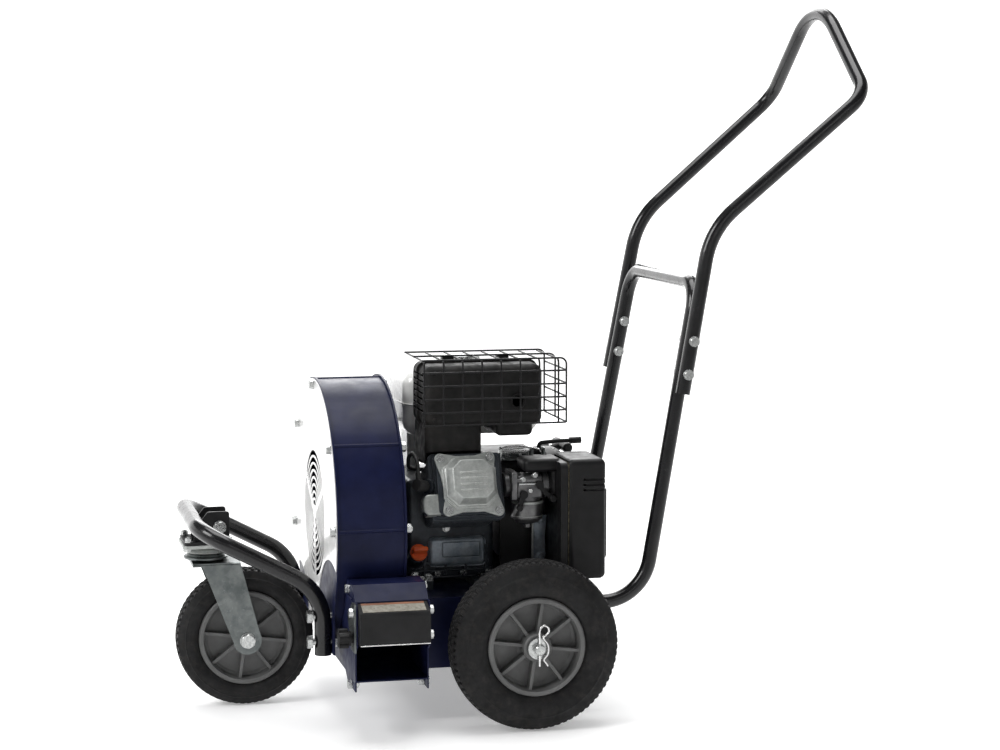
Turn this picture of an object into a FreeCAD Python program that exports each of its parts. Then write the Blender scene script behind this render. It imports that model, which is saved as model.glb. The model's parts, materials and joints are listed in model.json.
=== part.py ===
import FreeCAD, Part
import math
import os

V = FreeCAD.Vector

# Walk behind leaf blower, millimetres. X runs from the blower drum (-) to the operator (+),
# Y across the machine with the air outlet at -Y, Z up from the ground. While modelling, X is
# measured from the rear axle; the finished parts are moved so that the origin is on the ground
# under the middle of the machine.
ORIGIN_X = 18.5

# Rear wheels
REAR_R = 127.0
REAR_WIDTH = 60.0
REAR_RIM_R = 73.5
REAR_Y = 254.0
AXLE_R = 8.0
AXLE_HALF = 302.0
REAR_HUB_HALF = 31.5

# Front caster
KING_X = -456.0
CASTER_X = -398.0
CASTER_R = 106.0
CASTER_WIDTH = 50.0
CASTER_RIM_R = 72.5
CASTER_AXLE_R = 6.0
FORK_INNER_Y = 38.0
CROWN_Z = 223.0
SWIVEL_Z = 251.0
CHEEK_Y = 22.0
CHEEK_BOLT_X = -437.0
CHEEK_BOLT_Z = 281.0

# Blower drum, whose axis is the engine's crank axis
CRANK_Z = 294.0
DRUM_R = 209.0
RIM_LIP = 4.0
DRUM_FRONT = -285.0
DRUM_BACK = -181.0
SHEET = 3.0
COVER_SHEET = 1.5
DRUM_BOLT_R = 201.0
DRUM_BOLT_ANGLES = (90.0, 143.0, 179.0, 347.0, 295.0, 37.0)
INLET_R = 97.0
IMPELLER_R = 180.0

# Outlet duct at the bottom of the drum
DUCT_X0 = -270.0
DUCT_X1 = -161.0
DUCT_MOUTH_Y = -270.0
DUCT_WALL = 2.0
DUCT_Z0 = 86.0
DUCT_Z1 = 205.0
HOOD_PIVOT_Y = -272.0
HOOD_PIVOT_Z = 190.0
HOOD_CLAMP_Z = 153.0
HOOD_SWING = 35.0

# Base frame
DECK_Z = 187.0
DECK_X0 = -157.0
DECK_X1 = 118.0
BASE_Z0 = 80.0
BASE_HALF = 178.0
PLATE = 4.0
UPSTAND_BOLT_Y = (-40.0, 110.0)
UPSTAND_BOLT_Z = 150.0

# Handle and front tube
HANDLE_R = 11.0
LOOP_R = 12.5
TUBE_WALL = 2.0
LEG_FOOT_X = 188.0
LEG_FOOT_Y = 190.0
LEG_FOOT_Z = 172.0
CROSSBAR_X = 276.0
CROSSBAR_Y = 174.0
CROSSBAR_Z = 654.0
GRIP_X = 530.0
GRIP_CORNER_Y = 209.0
GRIP_CORNER_Z = 940.0
GRIP_PEAK_Z = 1102.0
ELBOW_X = 291.0
ELBOW_Z = 735.0
ARM_END_Z = 488.0
HANDLE_BOLT_Z = (518.0, 568.0)
LOOP_X = -297.5
LOOP_Y = 145.0
LOOP_FOOT_Z = 102.0
LOOP_ELBOW_Z = 199.0
NOSE_X = -478.0
NOSE_Z = 294.0
LOOP_BOLT_Z = (122.0, 161.0)

# Engine
CYLINDER_X = -80.0
CYLINDER_TILT = 20.0
CRANK_R = 10.0
PLUG_SEAT = V(-58, 2, 166)
PLUG_AXIS = V(-0.75, 0, 0.66)
BOOT_ELBOW = 18.0
CASE_X0 = -158.0
CASE_X1 = -20.0

BOLT_CLEARANCE = 0.25
AIR = 0.3


# ---------------------------------------------------------------- building blocks

def box(x0, x1, y0, y1, z0, z1):
    return Part.makeBox(x1 - x0, y1 - y0, z1 - z0, V(x0, y0, z0))


def rod(start, end, radius):
    start, end = V(*start), V(*end)
    run = end.sub(start)
    return Part.makeCylinder(radius, run.Length, start, run)


def pipe(start, end, radius, bore):
    return rod(start, end, radius).cut(rod(start, end, bore))


def fuse(shapes):
    shapes = list(shapes)
    if len(shapes) == 1:
        return shapes[0]
    return shapes[0].multiFuse(shapes[1:]).removeSplitter()


def cut(shape, tools):
    return shape.cut(list(tools))


def together(solids):
    return Part.makeCompound(list(solids))


def mirrored(shape):
    return shape.mirror(V(0, 0, 0), V(0, 1, 0))


def prism(points, direction):
    """Closed outline of 3-D points pushed along a direction."""
    corners = [V(*p) for p in points]
    return Part.Face(Part.makePolygon(corners + corners[:1])).extrude(V(*direction))


def plate_xz(outline, y0, y1):
    return prism([(x, y0, z) for x, z in outline], (0, y1 - y0, 0))


def plate_yz(outline, x0, x1):
    return prism([(x0, y, z) for y, z in outline], (x1 - x0, 0, 0))


def rounded_box(x0, x1, y0, y1, z0, z1, radius, axis=None):
    """Box with rounded edges: all of them, or only those along one axis."""
    shape = box(x0, x1, y0, y1, z0, z1)
    edges = shape.Edges
    if axis:
        edges = [e for e in edges if abs(e.tangentAt(0).dot(V(*axis))) > 0.9]
    return shape.makeFillet(radius, edges)


def turned(profile, centre, axis):
    """Solid of revolution: profile is (distance along axis, radius) points and arcs.

    An arc is written as ((along, radius) of its middle, (along, radius) of its end)."""
    along = V(*axis)
    across = V(0, 0, 1) if abs(along.z) < 0.5 else V(1, 0, 0)
    place = lambda p: V(*centre) + along * p[0] + across * p[1]
    edges = []
    last = profile[0]
    for step in list(profile[1:]) + [profile[0]]:
        if isinstance(step[0], tuple):
            edges.append(Part.Arc(place(last), place(step[0]), place(step[1])).toShape())
            last = step[1]
        elif step != last:
            edges.append(Part.makeLine(place(last), place(step)))
            last = step
    face = Part.Face(Part.Wire(edges))
    return Part.makeSolid(face.revolve(V(*centre), along, 360))


def bent_path(points, radii):
    """Straight runs joined by tangent arcs, one radius for each inner point."""
    points = [V(*p) for p in points]
    edges = []
    last = points[0]
    for before, corner, after, radius in zip(points, points[1:], points[2:], radii):
        u = before.sub(corner).normalize()
        w = after.sub(corner).normalize()
        half = math.acos(max(-1.0, min(1.0, u.dot(w)))) / 2
        reach = radius / math.tan(half)
        into = corner + u * reach
        out = corner + w * reach
        bisector = (u + w).normalize()
        middle = corner + bisector * (radius / math.sin(half) - radius)
        edges.append(Part.makeLine(last, into))
        edges.append(Part.Arc(into, middle, out).toShape())
        last = out
    edges.append(Part.makeLine(last, points[-1]))
    return Part.Wire(edges)


def swept(points, radii, radius, bore=0.0):
    """Round bar or tube along a bent path."""
    path = bent_path(points, radii)
    start = V(*points[0])
    heading = V(*points[1]).sub(start)
    section = Part.Wire(Part.makeCircle(radius, start, heading))
    solid = path.makePipeShell([section], True, False)
    if bore:
        inner = Part.Wire(Part.makeCircle(bore, start, heading))
        solid = solid.cut(path.makePipeShell([inner], True, False))
    return solid


def hex_head(base, axis, across_flats, height):
    """Hexagonal head or nut standing on base along axis."""
    along = V(*axis)
    side = V(0, 0, 1) if abs(along.z) < 0.9 else V(1, 0, 0)
    other = along.cross(side)
    radius = across_flats / math.sqrt(3)
    corners = []
    for k in range(7):
        turn = math.radians(60 * k)
        corners.append(V(*base) + side * (radius * math.cos(turn)) + other * (radius * math.sin(turn)))
    prism_shape = Part.Face(Part.makePolygon(corners)).extrude(along * height)
    crown = turned([(0, 0), (0, radius), (height * 0.8, radius), (height, radius * 0.86), (height, 0)],
                   base, axis)
    return prism_shape.common(crown)


def bolt(start, axis, grip, size, nut=True, washer=True):
    """Hex bolt whose head stands at start and whose shank runs along axis through grip."""
    along = V(*axis)
    start = V(*start)
    end = start + along * grip
    thick = 1.6 if washer else 0.0
    pieces = [Part.makeCylinder(size / 2, grip, start, along)]
    if washer:
        pieces.append(Part.makeCylinder(size, thick, start - along * thick, along))
    pieces.append(hex_head(start - along * thick, (-along.x, -along.y, -along.z), size * 1.7, size * 0.7))
    if nut:
        pieces.append(Part.makeCylinder(size, thick or 1.6, end, along))
        nut_base = end + along * (thick or 1.6)
        pieces.append(hex_head(nut_base, axis, size * 1.7, size * 0.8))
        pieces.append(Part.makeCylinder(size / 2, (thick or 1.6) + size, end, along))
    return fuse(pieces)


def hole(start, axis, length, size):
    """Clearance hole for a bolt of this size."""
    along = V(*axis)
    return Part.makeCylinder(size / 2 + BOLT_CLEARANCE, length + 2, V(*start) - along, along)


# ---------------------------------------------------------------- wheels

def tyre_ring(centre, radius, width, rim_radius):
    half = width / 2
    wall = radius - rim_radius
    profile = [(-half * 0.74, rim_radius + 0.2),
               ((-half, rim_radius + wall * 0.5), (-half * 0.82, rim_radius + wall * 0.86)),
               ((-half * 0.66, radius - wall * 0.045), (-half * 0.4, radius)),
               (half * 0.4, radius),
               ((half * 0.66, radius - wall * 0.045), (half * 0.82, rim_radius + wall * 0.86)),
               ((half, rim_radius + wall * 0.5), (half * 0.74, rim_radius + 0.2))]
    return turned(profile, centre, (0, 1, 0))


def wheel_rim(centre, rim_radius, half_width, hub_half, hub_radius, bore):
    """Moulded wheel: barrel, dished web, hub and eight ribs on each side."""
    web = 3.0
    barrel = 7.0
    lip = half_width - 2.0
    profile = [(-lip, rim_radius), (-half_width, rim_radius - 2), (-half_width, rim_radius - barrel),
               (-half_width + 6, rim_radius - barrel - 1.5), (-web - 2, rim_radius - barrel - 3),
               (-web, rim_radius - barrel - 8), (-web, hub_radius + 5), (-web - 3, hub_radius),
               (-hub_half + 2, hub_radius - 1), (-hub_half, hub_radius - 3), (-hub_half, bore),
               (hub_half, bore), (hub_half, hub_radius - 3), (hub_half - 2, hub_radius - 1),
               (web + 3, hub_radius), (web, hub_radius + 5), (web, rim_radius - barrel - 8),
               (web + 2, rim_radius - barrel - 3), (half_width - 6, rim_radius - barrel - 1.5),
               (half_width, rim_radius - barrel), (half_width, rim_radius - 2), (lip, rim_radius)]
    body = turned(profile, centre, (0, 1, 0))
    x, y, z = centre
    rib_half = half_width - 7
    inner = hub_radius - 2
    outer = rim_radius - barrel - 1
    rib = box(x + inner, x + outer, y - rib_half, y + rib_half, z - 2.2, z + 2.2)
    ribs = []
    for k in range(8):
        spoke = rib.copy()
        spoke.rotate(V(x, y, z), V(0, 1, 0), 45 * k + 8)
        ribs.append(spoke)
    return fuse([body] + ribs)


def rear_rim(side):
    return wheel_rim((0, side * REAR_Y, REAR_R), REAR_RIM_R, 28.0, REAR_HUB_HALF, 22.0, 12.05)


def rear_tyre(side):
    return tyre_ring((0, side * REAR_Y, REAR_R), REAR_R, REAR_WIDTH, REAR_RIM_R)


def rear_bushes(side):
    """Two flanged bushes pressed into the ends of the hub."""
    solids = []
    for end in (-1, 1):
        y0 = side * REAR_Y + end * REAR_HUB_HALF
        barrel = pipe((0, y0, REAR_R), (0, y0 - end * 20, REAR_R), 12.0, AXLE_R + 0.05)
        flange = pipe((0, y0, REAR_R), (0, y0 + end * 2, REAR_R), 15.0, AXLE_R + 0.05)
        solids.append(fuse([barrel, flange]))
    return together(solids)


def rear_axle():
    shaft = rod((0, -AXLE_HALF, REAR_R), (0, AXLE_HALF, REAR_R), AXLE_R)
    shaft = shaft.makeChamfer(1.2, [e for e in shaft.Edges if isinstance(e.Curve, Part.Circle)])
    pins = [rod((0, y, REAR_R - 10), (0, y, REAR_R + 10), 1.9) for y in (-295, 295)]
    return cut(shaft, pins)


def axle_spacers():
    """Spacer tubes inside the wheels and washers outside them."""
    solids = []
    for side in (-1, 1):
        solids.append(pipe((0, side * (BASE_HALF + 0.2), REAR_R), (0, side * 220.2, REAR_R), 12.5, 8.1))
        solids.append(pipe((0, side * 287.8, REAR_R), (0, side * 290.4, REAR_R), 16.0, 8.1))
    return together(solids)


def hairpin_clips():
    """R-shaped spring clips through the axle ends."""
    outline = [(0, -24), (0, 31), (13, 31), (10.2, 10), (10.2, -9), (15, -24)]
    clips = []
    for y in (-295, 295):
        points = [(x, y, REAR_R + z) for x, z in outline]
        clips.append(swept(points, (6.4, 6.4, 5, 5), 1.75))
    return together(clips)


def caster_rim():
    return wheel_rim((CASTER_X, 0, CASTER_R), CASTER_RIM_R, 23.5, 35.5, 17.0, CASTER_AXLE_R + 0.06)


def caster_tyre():
    return tyre_ring((CASTER_X, 0, CASTER_R), CASTER_R, CASTER_WIDTH, CASTER_RIM_R)


def caster_fork():
    """Pressed fork: two legs leaning back from a crown with the lower race of the swivel."""
    thick = 4.0
    outer = FORK_INNER_Y + thick
    top = CROWN_Z + 5
    crown = box(-480, -407, -outer, outer, CROWN_Z, top)
    crown = crown.makeFillet(4.0, [e for e in crown.Edges
                                   if abs(e.tangentAt(0).x) > 0.9 and e.CenterOfMass.z > top - 0.1])
    leg = plate_xz([(-466, top - 3), (-407, top - 3), (-377.5, 112), (-398, 86), (-418.5, 101)],
                   -outer, -FORK_INNER_Y)
    foot = rod((CASTER_X, -outer, CASTER_R), (CASTER_X, -FORK_INNER_Y, CASTER_R), 22.0)
    leg = fuse([leg, foot])
    race = turned([(0, CASTER_AXLE_R + 0.08), (0, 26), (3, 33.5), (6, 34), (8, 30), (11, 28),
                   (11, CASTER_AXLE_R + 0.08)], (KING_X, 0, top), (0, 0, 1))
    body = fuse([crown, leg, mirrored(leg), race])
    bores = [rod((KING_X, 0, CROWN_Z - 1), (KING_X, 0, top + 20), CASTER_AXLE_R + 0.08),
             rod((CASTER_X, -outer - 1, CASTER_R), (CASTER_X, outer + 1, CASTER_R), 6.2)]
    return cut(body, bores)


def caster_axle_bolt():
    outer = FORK_INNER_Y + 4.0
    return bolt((CASTER_X, -outer, CASTER_R), (0, 1, 0), 2 * outer, 12.0)


def caster_top_plate():
    """Bolted swivel plate with the upper race."""
    plate = rounded_box(KING_X - 38, KING_X + 40, -42, 42, SWIVEL_Z, SWIVEL_Z + 5, 8, (0, 0, 1))
    race = turned([(0, CASTER_AXLE_R + 0.1), (0, 27), (-4, 33), (-9, 35), (-10.5, 31),
                   (-10.5, CASTER_AXLE_R + 0.1)], (KING_X, 0, SWIVEL_Z), (0, 0, 1))
    holes = [hole((x, y, SWIVEL_Z), (0, 0, 1), 6, 6.0) for x, y in caster_plate_bolts()]
    bore = rod((KING_X, 0, SWIVEL_Z - 20), (KING_X, 0, SWIVEL_Z + 10), CASTER_AXLE_R + 0.1)
    return cut(fuse([plate, race]), holes + [bore])


def caster_plate_bolts():
    return [(KING_X + dx, dy) for dx in (-29, 31) for dy in (-34, 34)]


def kingpin():
    head = hex_head((KING_X, 0, CROWN_Z - 0.2), (0, 0, -1), 17.0, 6.0)
    shank = rod((KING_X, 0, CROWN_Z - 0.2), (KING_X, 0, SWIVEL_Z + 24), CASTER_AXLE_R)
    nut = hex_head((KING_X, 0, SWIVEL_Z + 10.1), (0, 0, 1), 17.0, 9.0)
    return fuse([head, shank, nut])


def caster_bracket():
    """Plate under the nose of the front tube, with two cheeks that cradle the tube."""
    z0 = SWIVEL_Z + 5
    top = 305.0
    plate = rounded_box(KING_X - 36, KING_X + 38, -40, 40, z0, z0 + 5, 8, (0, 0, 1))
    cheek = plate_xz([(-476, z0 + 4), (-422, z0 + 4), (-422, top), (-455, top), (-462, top - 9),
                      (-476, top - 21)], -CHEEK_Y - 4, -CHEEK_Y)
    cheek = cheek.makeFillet(4.0, [e for e in cheek.Edges
                                   if abs(e.tangentAt(0).y) > 0.9 and e.CenterOfMass.z > top - 1])
    body = fuse([plate, cheek, mirrored(cheek)])
    tools = [hole((x, y, z0), (0, 0, 1), 6, 6.0) for x, y in caster_plate_bolts()]
    tools.append(rod((KING_X, 0, z0 - 1), (KING_X, 0, z0 + 6), CASTER_AXLE_R + 0.1))
    tools.append(rod((NOSE_X, -60, NOSE_Z), (NOSE_X, 60, NOSE_Z), LOOP_R + 0.05))
    tools.append(hole((CHEEK_BOLT_X, -CHEEK_Y - 4, CHEEK_BOLT_Z), (0, 1, 0), 2 * CHEEK_Y + 8, 10.0))
    return cut(body, tools)


# ---------------------------------------------------------------- tubes and base

def front_loop_tube():
    points = [(LOOP_X, -LOOP_Y, LOOP_FOOT_Z), (LOOP_X, -LOOP_Y, LOOP_ELBOW_Z), (NOSE_X, -LOOP_Y, NOSE_Z),
              (NOSE_X, LOOP_Y, NOSE_Z), (LOOP_X, LOOP_Y, LOOP_ELBOW_Z), (LOOP_X, LOOP_Y, LOOP_FOOT_Z)]
    tube = swept(points, (80, 55, 55, 80), LOOP_R, LOOP_R - TUBE_WALL)
    return cut(tube, [hole((LOOP_X - 20, y, z), (1, 0, 0), 40, 10.0)
                      for y in (-LOOP_Y, LOOP_Y) for z in LOOP_BOLT_Z])


def leg_point(z):
    """Centre of the lower handle's leg at a height, on the +Y side."""
    share = (z - LEG_FOOT_Z) / (CROSSBAR_Z - LEG_FOOT_Z)
    return (LEG_FOOT_X + share * (CROSSBAR_X - LEG_FOOT_X),
            LEG_FOOT_Y + share * (CROSSBAR_Y - LEG_FOOT_Y), z)


def handle_bolt_holes():
    tools = []
    for z in HANDLE_BOLT_Z:
        x = leg_point(z)[0]
        tools.append(hole((x, -240, z), (0, 1, 0), 480, 8.0))
    return tools


def lower_handle():
    half = [(-70, LEG_FOOT_Z), (LEG_FOOT_X, LEG_FOOT_Z)]
    points = [(x, -LEG_FOOT_Y, z) for x, z in half]
    points += [(CROSSBAR_X, -CROSSBAR_Y, CROSSBAR_Z), (CROSSBAR_X, CROSSBAR_Y, CROSSBAR_Z)]
    points += [(x, LEG_FOOT_Y, z) for x, z in reversed(half)]
    tube = swept(points, (75, 45, 45, 75), HANDLE_R, HANDLE_R - TUBE_WALL)
    feet = [hole((x, -220, LEG_FOOT_Z), (0, 1, 0), 440, 8.0) for x in base_tube_bolts()]
    return cut(tube, handle_bolt_holes() + feet)


def base_tube_bolts():
    return (-45.0, 85.0)


def upper_handle():
    foot_x, leg_y, _ = leg_point(ARM_END_Z)
    arm_y = leg_y + 2 * HANDLE_R + 1.0
    elbow_y = leg_point(ELBOW_Z)[1] + 2 * HANDLE_R + 1.0
    side = [(foot_x, arm_y, ARM_END_Z), (ELBOW_X, elbow_y, ELBOW_Z), (GRIP_X, GRIP_CORNER_Y, GRIP_CORNER_Z)]
    points = [(x, -y, z) for x, y, z in side] + [(GRIP_X, 0, GRIP_PEAK_Z)] + list(reversed(side))
    tube = swept(points, (130, 45, 125, 45, 130), HANDLE_R, HANDLE_R - TUBE_WALL)
    return cut(tube, handle_bolt_holes())


def handle_bolts():
    """Four bolts through the lapped tubes, heads outside."""
    bolts = []
    for z in HANDLE_BOLT_Z:
        x, y, _ = leg_point(z)
        outside = y + 3 * HANDLE_R + 1.2
        inside = y - HANDLE_R - 0.2
        near = bolt((x, -outside, z), (0, 1, 0), outside - inside, 8.0)
        bolts += [near, mirrored(near)]
    return together(bolts)


def base_frame():
    """Engine deck with deep side flanges that carry the axle and the handle tubes."""
    side_outline = [(DECK_X0, BASE_Z0), (38, BASE_Z0), (DECK_X1, 152), (DECK_X1, DECK_Z), (DECK_X0, DECK_Z)]
    deck = box(DECK_X0, DECK_X1, -BASE_HALF, BASE_HALF, DECK_Z - PLATE, DECK_Z)
    near = plate_xz(side_outline, -BASE_HALF, -BASE_HALF + PLATE)
    front = box(DECK_X0, DECK_X0 + PLATE, -BASE_HALF, BASE_HALF, BASE_Z0, DECK_Z)
    tongue = box(DRUM_BACK, DECK_X0 + 1, -58, 150, DECK_Z - PLATE, DECK_Z)
    upstand = box(DRUM_BACK, DRUM_BACK + PLATE, -58, 150, 130, DECK_Z)
    rear_lip = box(DECK_X1 - PLATE, DECK_X1, -BASE_HALF, BASE_HALF, 152, DECK_Z)
    body = fuse([deck, near, mirrored(near), front, tongue, upstand, rear_lip])
    tools = [rod((0, -200, REAR_R), (0, 200, REAR_R), AXLE_R + 0.1)]
    tools += [hole((x, -200, LEG_FOOT_Z), (0, 1, 0), 400, 8.0) for x in base_tube_bolts()]
    tools += [hole((x, y, DECK_Z - 10), (0, 0, 1), 14, 8.0) for x, y in engine_feet()]
    tools += [hole((DRUM_BACK - 5, y, UPSTAND_BOLT_Z), (1, 0, 0), 20, 6.0) for y in UPSTAND_BOLT_Y]
    return cut(body, tools)


def engine_feet():
    return [(x, y) for x in (-138, -42) for y in (-101, 107)]


def frame_bolts():
    """Bolts of the front tube, the caster plate, the handle feet and the drum's lower edge."""
    bolts = []
    reach = LOOP_R + 3.2
    for y in (-LOOP_Y, LOOP_Y):
        for z in LOOP_BOLT_Z:
            bolts.append(bolt((LOOP_X - reach, y, z), (1, 0, 0), 2 * reach, 10.0))
    for x, y in caster_plate_bolts():
        bolts.append(bolt((x, y, SWIVEL_Z), (0, 0, 1), 10, 6.0, washer=False))
    bolts.append(bolt((CHEEK_BOLT_X, -CHEEK_Y - 4, CHEEK_BOLT_Z), (0, 1, 0), 2 * CHEEK_Y + 8, 10.0))
    for x in base_tube_bolts():
        reach = LEG_FOOT_Y + HANDLE_R + 1.8
        side = bolt((x, -reach, LEG_FOOT_Z), (0, 1, 0), reach - BASE_HALF + PLATE, 8.0)
        bolts += [side, mirrored(side)]
    for y in UPSTAND_BOLT_Y:
        bolts.append(bolt((DRUM_BACK - SHEET, y, UPSTAND_BOLT_Z), (1, 0, 0), SHEET + PLATE, 6.0,
                          washer=False))
    return together(bolts)


# ---------------------------------------------------------------- blower housing

def on_drum(angle, radius):
    """Point (y, z) at an angle from the +Y side round the drum."""
    turn = math.radians(angle)
    return radius * math.cos(turn), CRANK_Z + radius * math.sin(turn)


def duct_block(grow=0.0):
    return box(DUCT_X0 - grow, DUCT_X1 + grow, DUCT_MOUTH_Y - 1, -60, DUCT_Z0 - grow, DUCT_Z1 + grow)


def housing_shell():
    """Rolled drum wall with a bead over each through bolt, open where the duct leaves it."""
    x0, x1 = DRUM_FRONT + SHEET, DRUM_BACK - SHEET
    wall = pipe((x0, 0, CRANK_Z), (x1, 0, CRANK_Z), DRUM_R, DRUM_R - 2)
    beads = []
    for angle in DRUM_BOLT_ANGLES:
        y, z = on_drum(angle, DRUM_R - 0.6)
        bead = rod((x0, y, z), (x1, y, z), 2.6)
        beads.append(bead.cut(rod((x0 - 1, 0, CRANK_Z), (x1 + 1, 0, CRANK_Z), DRUM_R - 1)))
    return cut(fuse([wall] + beads), [duct_block(AIR)])


def drum_bolt_holes(x0, length):
    return [hole((x0, *on_drum(a, DRUM_BOLT_R)), (1, 0, 0), length, 8.0) for a in DRUM_BOLT_ANGLES]


def housing_back_plate():
    disc = rod((DRUM_BACK - SHEET, 0, CRANK_Z), (DRUM_BACK, 0, CRANK_Z), DRUM_R + RIM_LIP)
    tools = [rod((DRUM_BACK - 9, 0, CRANK_Z), (DRUM_BACK + 9, 0, CRANK_Z), 30), duct_block(AIR)]
    tools += drum_bolt_holes(DRUM_BACK - 9, 18)
    tools += [hole((DRUM_BACK - 9, y, z), (1, 0, 0), 18, 8.0) for y, z in cover_bolts()]
    tools += [hole((DRUM_BACK - 9, y, UPSTAND_BOLT_Z), (1, 0, 0), 18, 6.0) for y in UPSTAND_BOLT_Y]
    return cut(disc, tools)


def housing_front_plate():
    """Front ring of the drum with two ears for the front tube."""
    x0, x1 = DRUM_FRONT, DRUM_FRONT + SHEET
    disc = rod((x0, 0, CRANK_Z), (x1, 0, CRANK_Z), DRUM_R + 2)
    ears = [box(x0, x1, y - 20, y + 20, LOOP_FOOT_Z + 2, 220) for y in (-LOOP_Y, LOOP_Y)]
    tools = [rod((x0 - 1, 0, CRANK_Z), (x1 + 1, 0, CRANK_Z), INLET_R + 8)]
    tools += drum_bolt_holes(x0 - 5, 12)
    tools += [hole((x0 - 5, y, z), (1, 0, 0), 12, 10.0) for y in (-LOOP_Y, LOOP_Y) for z in LOOP_BOLT_Z]
    return cut(fuse([disc] + ears), tools)


def inlet_cover():
    """Cover disc with ring slots crossed by three spokes, cut away beside the front tube."""
    x0, x1 = DRUM_FRONT - COVER_SHEET, DRUM_FRONT
    disc = rod((x0, 0, CRANK_Z), (x1, 0, CRANK_Z), DRUM_R)
    slots = []
    pitch = 11.0
    slot = 7.6
    for k in range(8):
        outer = INLET_R - k * pitch
        slots.append(pipe((x0 - 1, 0, CRANK_Z), (x1 + 1, 0, CRANK_Z), outer, outer - slot))
    spokes = []
    for angle in (30, 150, 270):
        spoke = box(x0 - 2, x1 + 2, 0, INLET_R + 2, CRANK_Z - 5, CRANK_Z + 5)
        spoke.rotate(V(0, 0, CRANK_Z), V(1, 0, 0), angle)
        spokes.append(spoke)
    openings = [s.cut(spokes) for s in slots]
    clipped = [rod((x0 - 1, y, LOOP_FOOT_Z), (x1 + 1, y, LOOP_FOOT_Z), radius)
               for y, radius in ((-LOOP_Y - 10, 143), (LOOP_Y + 8, 88))]
    return cut(disc, openings + clipped + drum_bolt_holes(x0 - 5, 12))


def housing_bolts():
    """Through bolts round the drum, corner bolts of the duct and rear bolts of the hood."""
    front = DRUM_FRONT - COVER_SHEET
    bolts = []
    for angle in DRUM_BOLT_ANGLES:
        y, z = on_drum(angle, DRUM_BOLT_R)
        bolts.append(bolt((front, y, z), (1, 0, 0), DRUM_BACK - front, 8.0))
    for y, z in duct_bolts():
        bolts.append(bolt((DUCT_X0, y, z), (1, 0, 0), DUCT_WALL, 7.0))
        bolts.append(bolt((DUCT_X1, y, z), (-1, 0, 0), DUCT_WALL, 7.0))
    for z in (HOOD_PIVOT_Z, HOOD_CLAMP_Z):
        bolts.append(bolt((DUCT_X1, HOOD_PIVOT_Y, z), (-1, 0, 0), 5.0, 7.0))
    bolts.append(bolt((DUCT_X0 - 3, HOOD_PIVOT_Y, HOOD_PIVOT_Z), (1, 0, 0), 8.0, 7.0))
    return together(bolts)


def duct_bolts():
    return [(-222.0, 216.0), (-240.0, 77.5)]


def outlet_duct():
    """Welded outlet box: it leaves the drum sideways and stands a little behind its front."""
    wall = DUCT_WALL
    lip = -282.0
    outer = box(DUCT_X0, DUCT_X1, DUCT_MOUTH_Y, -62, DUCT_Z0, DUCT_Z1)
    inner = box(DUCT_X0 + wall, DUCT_X1 - wall, DUCT_MOUTH_Y - 1, -64, DUCT_Z0 + wall, DUCT_Z1 - wall)
    plates = []
    for x in (DUCT_X0, DUCT_X1 - wall):
        outline = [(DUCT_MOUTH_Y, 72), (-205, 72), (-180, DUCT_Z0 + 1), (-180, DUCT_Z1 - 1), (-196, 226),
                   (-246, 226), (DUCT_MOUTH_Y, DUCT_Z1), (lip, DUCT_Z1), (lip, 140), (DUCT_MOUTH_Y, 132)]
        plates.append(plate_yz(outline, x, x + wall))
    top_fold = [(-196, 226), (-246, 226), (DUCT_MOUTH_Y, DUCT_Z1), (DUCT_MOUTH_Y, DUCT_Z1 - wall),
                (-246.8, 224), (-196, 224)]
    plates.append(plate_yz(top_fold, DUCT_X0, DUCT_X1))
    body = fuse([outer.cut(inner)] + plates)
    drum_room = rod((DUCT_X0 - 5, 0, CRANK_Z), (DRUM_BACK, 0, CRANK_Z), DRUM_R - 2)
    tab_room = rod((DUCT_X0 - 5, 0, CRANK_Z), (DRUM_BACK, 0, CRANK_Z), DRUM_R + RIM_LIP + AIR)
    tab_room = tab_room.common(box(DUCT_X0 - 5, DRUM_BACK, -300, 0, DUCT_Z1 + AIR, CRANK_Z))
    holes = [hole((DUCT_X0 - 5, y, z), (1, 0, 0), 130, 7.0) for y, z in duct_bolts()]
    holes += [hole((DUCT_X0 - 5, HOOD_PIVOT_Y, z), (1, 0, 0), 130, 7.0) for z in (HOOD_PIVOT_Z, HOOD_CLAMP_Z)]
    return cut(body, [drum_room, tab_room] + holes)


def deflector_bracket():
    """Zinc gusset on the front of the duct, under the pivot and the star knob."""
    outline = [(-281, 204), (-262, 204), (-222, 178), (-250, 132), (-281, 132)]
    plate = plate_yz(outline, DUCT_X0 - 3, DUCT_X0)
    return cut(plate, [hole((DUCT_X0 - 5, HOOD_PIVOT_Y, z), (1, 0, 0), 9, 7.0)
                       for z in (HOOD_PIVOT_Z, HOOD_CLAMP_Z)])


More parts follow.
